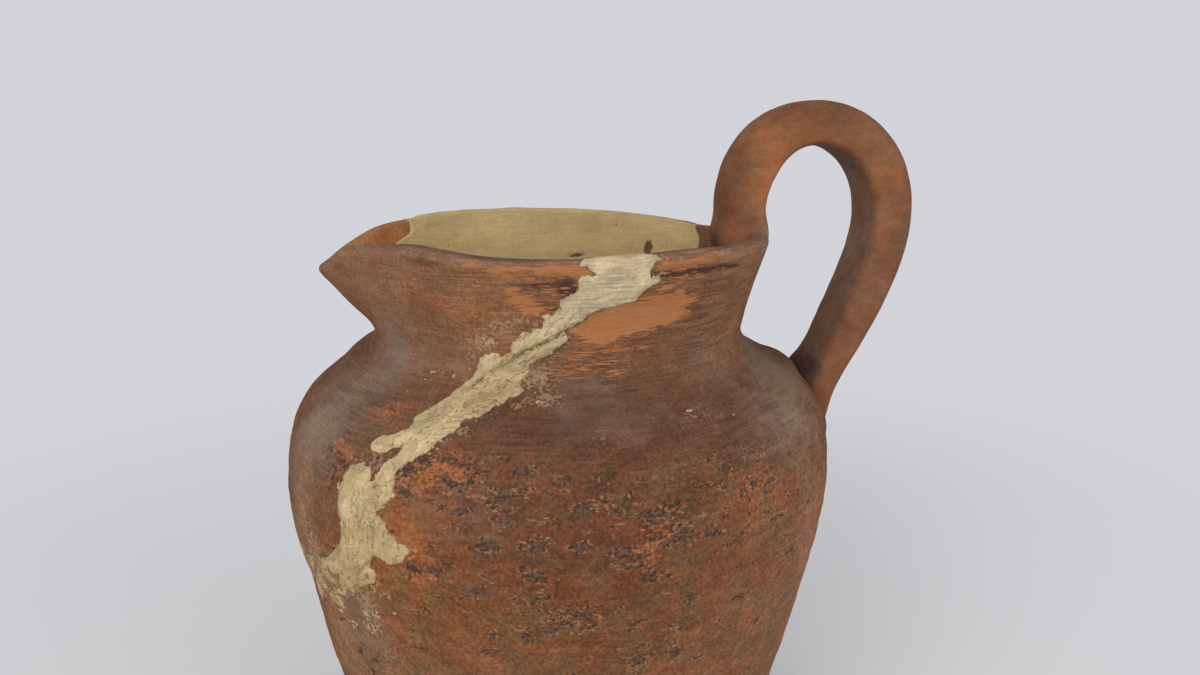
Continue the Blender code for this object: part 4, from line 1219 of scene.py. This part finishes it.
def skim_build(sheet, inside):
    """Thickness and colour of the plaster brushed over the inside of the neck."""
    lift = 0.55 + 0.20 * sheet.noise((9, 9, 5), 131, 2) + 0.07 * sheet.noise((7, 7, 0.9), 133, 2)
    hole = sheet.inside_spot(-310.4, 164.4, 0.9, 2.0)
    dash = sheet.inside_spot(-281.7, 160.7, 3.0, 0.7, -8)
    lift = np.clip(lift - hole - 0.6 * dash, 0.05, 1.3)
    lift = 0.25 + (lift - 0.25) * ramp(sheet.into, 0.3, 3.0)
    pale = 1 + 0.10 * sheet.noise((16, 16, 5), 137, 3)
    pale *= 1 + 0.16 * ramp(sheet.b, -278, -238)
    pale *= 1 - 0.12 * (1 - ramp(inside, 0, 9))
    dirt_and_shade = 0.35 * (1 - ramp(inside, 0.2, 1.2))
    for *place, strength in SKIM_MARKS:
        dirt_and_shade = np.maximum(dirt_and_shade, strength * sheet.inside_spot(*place))
    return lift, np.array(SKIM_COLOUR) * pale[..., None], dirt_and_shade, 0 * lift, 0.35


def infill_build(sheet, inside):
    """Thickness and colour of the plaster over the rebuilt rim."""
    lift = 0.16 + 0.06 * sheet.noise((10, 10, 5), 151, 2) + 0.03 * sheet.noise(1.2, 153)
    pale = 1.04 + 0.08 * sheet.noise((12, 12, 6), 157, 3)
    dirt_and_shade = 0.25 * (1 - ramp(inside, 0.2, 1.2))
    tint = np.array(SKIM_COLOUR) * pale[..., None]
    return np.clip(lift, 0.03, 0.4), tint, dirt_and_shade, 0 * dirt_and_shade, 0.3


def front_depth(sheet):
    """Signed depth inside the seam's front run, which ends where the runs meet."""
    before_end = round_wall(sheet.b - (RUNS_MEET_AT - 1.5), sheet.radius)
    return np.minimum(over_the_lip(sheet, STRIP_DOWN), before_end)


def back_depth(sheet):
    """The same for the back run, which ends below the rebuilt rim too."""
    after_start = round_wall(RUNS_MEET_AT + 0.5 - sheet.b, sheet.radius)
    below_infill = np.maximum(sheet.out, sheet.into) - infill_depth(sheet.b) + 0.6
    return np.minimum(np.minimum(over_the_lip(sheet, BACK_DOWN), after_start), below_infill)


def infill_inside(sheet):
    """Signed depth inside the rebuilt rim."""
    return infill_depth(sheet.b) - np.maximum(np.maximum(sheet.out, sheet.into), 0)


def skim_depth(sheet):
    """Signed depth inside the skim's ragged outline."""
    ragged = sheet.noise((3, 3, 4), 141, 2)
    left_end = SKIM_LEFT_BEARING + 14 * ramp(sheet.into, 3.5, 9.5)
    left = round_wall(left_end - sheet.b, sheet.radius) + 0.6 * ragged
    right = round_wall(sheet.b - SKIM_RIGHT_BEARING, sheet.radius) + 0.7 * ragged
    right = right - 4 * bell(sheet.into, 4)
    top = sheet.into + 0.8 + 3.8 * ramp(-infill_depth(sheet.b), -1.5, 0.2) * ramp(sheet.b, -345, -300)
    bottom = 25.0 - sheet.into + 1.5 * ragged
    return np.minimum(np.minimum(left, right), np.minimum(top, bottom))


def make_plaster():
    """The seam's two runs, the rebuilt rim and the skim inside the neck."""
    material = plaster_material("seam_plaster_look", 0.9, 1.0, "course")
    for name, span, lowest, depth, node in (
            ("plaster_seam_front", (-158, -66), 88, front_depth, "seam_front"),
            ("plaster_seam_back", (-272, -151), 87, back_depth, "seam_back")):
        made = make_skin(name, span, seam_rows(lowest), depth, strip_build, material, course=True)
        hand_over(made, node)
    material = plaster_material("rim_plaster_look", 0.88, 0.35)
    hand_over(make_skin("rebuilt_rim", (-292, -212), seam_rows(158), infill_inside,
                        infill_build, material, 0.4), "rim_infill")
    material = plaster_material("skim_plaster_look", 0.88, 0.35)
    rows = [rows_lip(PLASTER_LIP_ROWS)[:, 3:], rows_inside(plaster_heights(147)[::-1])]
    rows = np.concatenate(rows, 1)
    hand_over(make_skin("neck_skim_coat", (-338, -194), rows, skim_depth, skim_build, material),
              "neck_skim")


def bezier(points, t):
    """Point at a share along the curve of four points."""
    a, b, c, d = points
    return a * (1 - t) ** 3 + b * 3 * t * (1 - t) ** 2 + c * 3 * t * t * (1 - t) + d * t**3


def flared(height):
    """Width of the near limb, which spreads towards its root."""
    return STRAP_WIDTH + (UPPER_ROOT_WIDTH - STRAP_WIDTH) * ramp(RIM_HEIGHT - height, -2, 8)


def luted(height):
    """What the luting adds to the near limb's outside."""
    return LUTING * bell(height - RIM_HEIGHT + 1, 4.2)


def halves(place):
    """Half thickness of the strap outside and inside its line, eased from stop to stop."""
    places, outside, inside = zip(*STRAP_HALVES)
    near = place + np.linspace(-0.05, 0.05, 9)
    return np.interp(near, places, outside).mean(), np.interp(near, places, inside).mean()


def handle_stops(arch_steps, limb_steps):
    """Places along the strap's line, as in the part: place, outer and inner half, and width."""
    spring = RIM_HEIGHT + HANDLE_SPRING
    centre = RIM_RADIUS - HANDLE_INSET + ARCH_HALF_SPAN
    near = RIM_RADIUS - HANDLE_INSET - NEAR_LIMB_SHIFT
    stops = []
    outside, inside = halves(0)
    for height in np.linspace(RIM_HEIGHT - ROOT_DEPTH, spring, 30)[:-1]:
        rooted = ramp(height, RIM_HEIGHT - ROOT_DEPTH - 1, RIM_HEIGHT - ROOT_DEPTH + 7)
        skin = float(bend(0.0, float(outer_radius(height)), height)[0])
        above = ramp(height, RIM_HEIGHT - 8, RIM_HEIGHT - 3)
        outer_half = 2.2 + (outside - 2.2) * rooted + 0.8 * bell(height - RIM_HEIGHT + 1.5, 3.5)
        inner_half = (inside + luted(height)) * above + (skin - 0.8 - near) * (1 - above)
        stops.append((np.array((near, 0, height)), outer_half, inner_half, flared(height)))
    for share in np.linspace(0, 1, arch_steps):
        turn = math.pi * (1 - share)
        place = np.array((centre + ARCH_HALF_SPAN * math.cos(turn), 0,
                          spring + ARCH_RISE * math.sin(turn)))
        outside, inside = halves(share)
        near_limb = share < 0.5
        luting = luted(place[2]) if near_limb else 0
        width = flared(place[2]) if near_limb else STRAP_WIDTH
        place[0] -= NEAR_LIMB_SHIFT * max(0, (centre - place[0]) / ARCH_HALF_SPAN)
        stops.append((place, outside, inside + luting, width))
    shoulder = RIM_HEIGHT - LOWER_ROOT_DROP
    start = stops[-1][0]
    root = np.array((float(outer_radius(shoulder)) - LOWER_ROOT_INSET, 0, shoulder))
    curve = (start, start + LIMB_FALL, root + LIMB_LANDING, root)
    for share in np.linspace(0, 1, limb_steps)[1:]:
        stops.append((bezier(curve, share), *halves(1 + share), STRAP_WIDTH))
    return stops


def strap_layers(points, inwards):
    """The strap's colour layers; inwards is 1 in the middle of its inner face."""
    x, z = points[..., 0], points[..., 2]
    inwards = inwards + 0 * x
    tint = np.array(STRAP_COLOUR) * (1 + 0.10 * noise(points, (8, 8, 14), 207, 3))[..., None]
    tint = tint * (1 - 0.32 * bell(x - 72, 14) * bell(z - 208, 9))[..., None]
    # The orange share is partly the strap's orange clay, by noise, and partly a painted highlight
    # along the near limb's inner edge, from the two bells in x
    orange_and_highlight = ramp(noise(points, (11, 11, 18), 209, 2), -1.0, 1.6) * (0.5 + 0.5 * bell(x - 54, 12))
    orange_and_highlight = np.maximum(orange_and_highlight, bell(x - 56, 7) * bell(z - 190, 14))
    tint = toward(tint, STRAP_ORANGE, orange_and_highlight)
    tint = toward(tint, STRAP_INNER, 0.7 * ramp(inwards, 0.5, 0.9))
    # Painted shade in the angle between the far limb and the shoulder, on the limb's inner face
    stain_and_shade = 1.5 * bell(x - 70, 8) * bell(z - 129, 10) * ramp(inwards, -0.2, 0.6)
    # Painted shade on the near limb's root where it hangs inside the neck
    stain_and_shade = np.maximum(stain_and_shade, 0.8 * bell(z - 168, 6) * bell(x - 43, 6))
    # Grey at the luting where the near limb passes the rim: partly dust, partly a painted highlight;
    # the noise below adds dust over the strap
    dust_and_highlight = 0.7 * bell(z - 175.5, 5.5) * bell(x - 57, 3.5)
    dust_and_highlight = dust_and_highlight + 0.2 * ramp(noise(points, 12, 211, 2), 0.3, 1)
    flake = 0.4 * ramp(noise(points, (5, 5, 9), 213, 2), 0.5, 1.2)
    nothing = np.zeros_like(x)
    return {
        "tint": opaque(tint),
        "marks": four(nothing, flake, dust_and_highlight),
        "wear_and_shade": four(nothing, nothing, stain_and_shade),
        "zones": four(nothing + 0.15, nothing, nothing),
    }


def make_handle():
    """The strap: rounded outside, with sharper edges round its inner face."""
    sides = round(72 / COARSENESS)
    stops = handle_stops(round(90 / COARSENESS), round(90 / COARSENESS))
    centres = np.array([stop[0] for stop in stops])
    outer, inner, width = (np.array([stop[part] for stop in stops])[:, None] for part in (1, 2, 3))
    along = np.gradient(centres, axis=0)
    outwards = np.stack([-along[:, 2], 0 * along[:, 0], along[:, 0]], -1)
    outwards /= np.linalg.norm(outwards, axis=1)[:, None]
    turn = np.linspace(0, 2 * math.pi, sides + 1)[:-1][None, :]
    u, v = np.cos(turn), np.sin(turn)
    power = np.where(u > 0, 2 / OUTER_SQUARENESS, 2 / INNER_SQUARENESS)
    across = np.sign(u) * abs(u) ** power * np.where(u > 0, outer, inner)
    aside = np.sign(v) * abs(v) ** power * width / 2
    points = centres[:, None, :] + outwards[:, None, :] * across[..., None]
    points[..., 1] += aside
    normals = points - centres[:, None, :]
    normals /= np.linalg.norm(normals, axis=2)[..., None]
    lift = 0.16 * noise(points, 9, 201, 2) + 0.06 * noise(points, 2.5, 203, 2)
    points = points + normals * lift[..., None]
    index = np.arange(points.size // 3).reshape(points.shape[:2])
    around = np.roll(index, -1, 1)
    faces = np.stack([index[:-1], index[1:], around[1:], around[:-1]], -1).reshape(-1, 4)
    caps = [index[0], index[-1, ::-1]]
    made = make_object("strap_handle", points.reshape(-1, 3), faces, strap_layers(points, -u),
                       clay_material("handle_clay_look", 0.70, 0.45), caps)
    hand_over(made, "handle")


def area_light(name, place, size, power, colour=(1, 1, 1)):
    """A round lamp at a place in metres, aimed at the jug's belly."""
    data = bpy.data.lights.new(name, "AREA")
    data.shape = "DISK"
    data.size = size
    data.energy = power
    data.color = colour
    lamp = bpy.data.objects.new(name, data)
    lamp.location = place
    aim = Vector((0, 0, 0.12)) - lamp.location
    lamp.rotation_euler = aim.to_track_quat("-Z", "Y").to_euler()
    bpy.context.scene.collection.objects.link(lamp)


def make_stage():
    """A pale floor that fades into the backdrop, and soft light from all round."""
    disc = bmesh.new()
    bmesh.ops.create_circle(disc, cap_ends=True, segments=96, radius=4)
    mesh = bpy.data.meshes.new("studio_floor")
    disc.to_mesh(mesh)
    disc.free()
    floor = bpy.data.objects.new("studio_floor", mesh)
    bpy.context.scene.collection.objects.link(floor)
    paint = Paint("pale_floor", 0.9, 0.1)
    paint.shader.inputs["Base Color"].default_value = FLOOR_COLOUR
    glow = paint.node("ShaderNodeEmission", {"Color": BACKDROP})
    away = paint.node("ShaderNodeVectorMath", {0: paint.places}, "Value", operation="LENGTH")
    seen = paint.node("ShaderNodeLightPath", {}, "Is Camera Ray")
    fade = paint.times(paint.ramp(away, *FLOOR_FADE), seen)
    blend = paint.node("ShaderNodeMixShader", {0: fade, 1: paint.shader.outputs[0], 2: glow})
    paint.tree.links.new(blend, paint.tree.nodes["Material Output"].inputs["Surface"])
    mesh.materials.append(paint.material)

    world = bpy.data.worlds.new("studio")
    bpy.context.scene.world = world
    world.use_nodes = True
    sky = Nodes(world.node_tree)
    around = sky.tree.nodes["Background"]
    around.inputs["Color"].default_value = AMBIENT
    behind = sky.node("ShaderNodeBackground", {"Color": BACKDROP})
    rays = sky.node("ShaderNodeLightPath", {}).node.outputs
    seen = sky.math("MAXIMUM", rays["Is Camera Ray"], rays["Is Glossy Ray"],
                    rays["Is Transmission Ray"])
    blend = sky.node("ShaderNodeMixShader", {0: seen, 1: around.outputs[0], 2: behind})
    sky.tree.links.new(blend, sky.tree.nodes["World Output"].inputs["Surface"])

    area_light("key_light", (-0.7, -0.95, 0.60), 0.8, 8.5, (1, 0.985, 0.96))
    area_light("top_light", (0.05, 0.15, 1.3), 0.9, 1.8)
    area_light("fill_light", (0.9, -0.85, 0.40), 0.9, 6.0, (1, 0.99, 0.98))


def make_camera():
    """The photograph's view: from just above the rim, a little to the left, looking down."""
    data = bpy.data.cameras.new("photo_camera")
    data.lens = CAMERA_LENS
    data.sensor_width = 36
    data.clip_start = 0.01
    camera = bpy.data.objects.new("photo_camera", data)
    camera.location = Vector(CAMERA_PLACE) * MM
    camera.rotation_euler = (math.radians(90 - CAMERA_DROP), 0, math.radians(-CAMERA_TURN))
    bpy.context.scene.collection.objects.link(camera)
    bpy.context.scene.camera = camera


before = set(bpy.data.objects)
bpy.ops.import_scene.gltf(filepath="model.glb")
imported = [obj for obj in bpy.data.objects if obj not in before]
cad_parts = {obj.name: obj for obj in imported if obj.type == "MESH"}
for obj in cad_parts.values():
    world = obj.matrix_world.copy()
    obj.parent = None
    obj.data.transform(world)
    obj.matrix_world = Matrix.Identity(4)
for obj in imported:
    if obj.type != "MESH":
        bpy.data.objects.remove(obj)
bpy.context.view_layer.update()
bpy.context.scene.view_settings.view_transform = "Standard"
make_clay()
make_handle()
make_plaster()
make_stage()
make_camera()
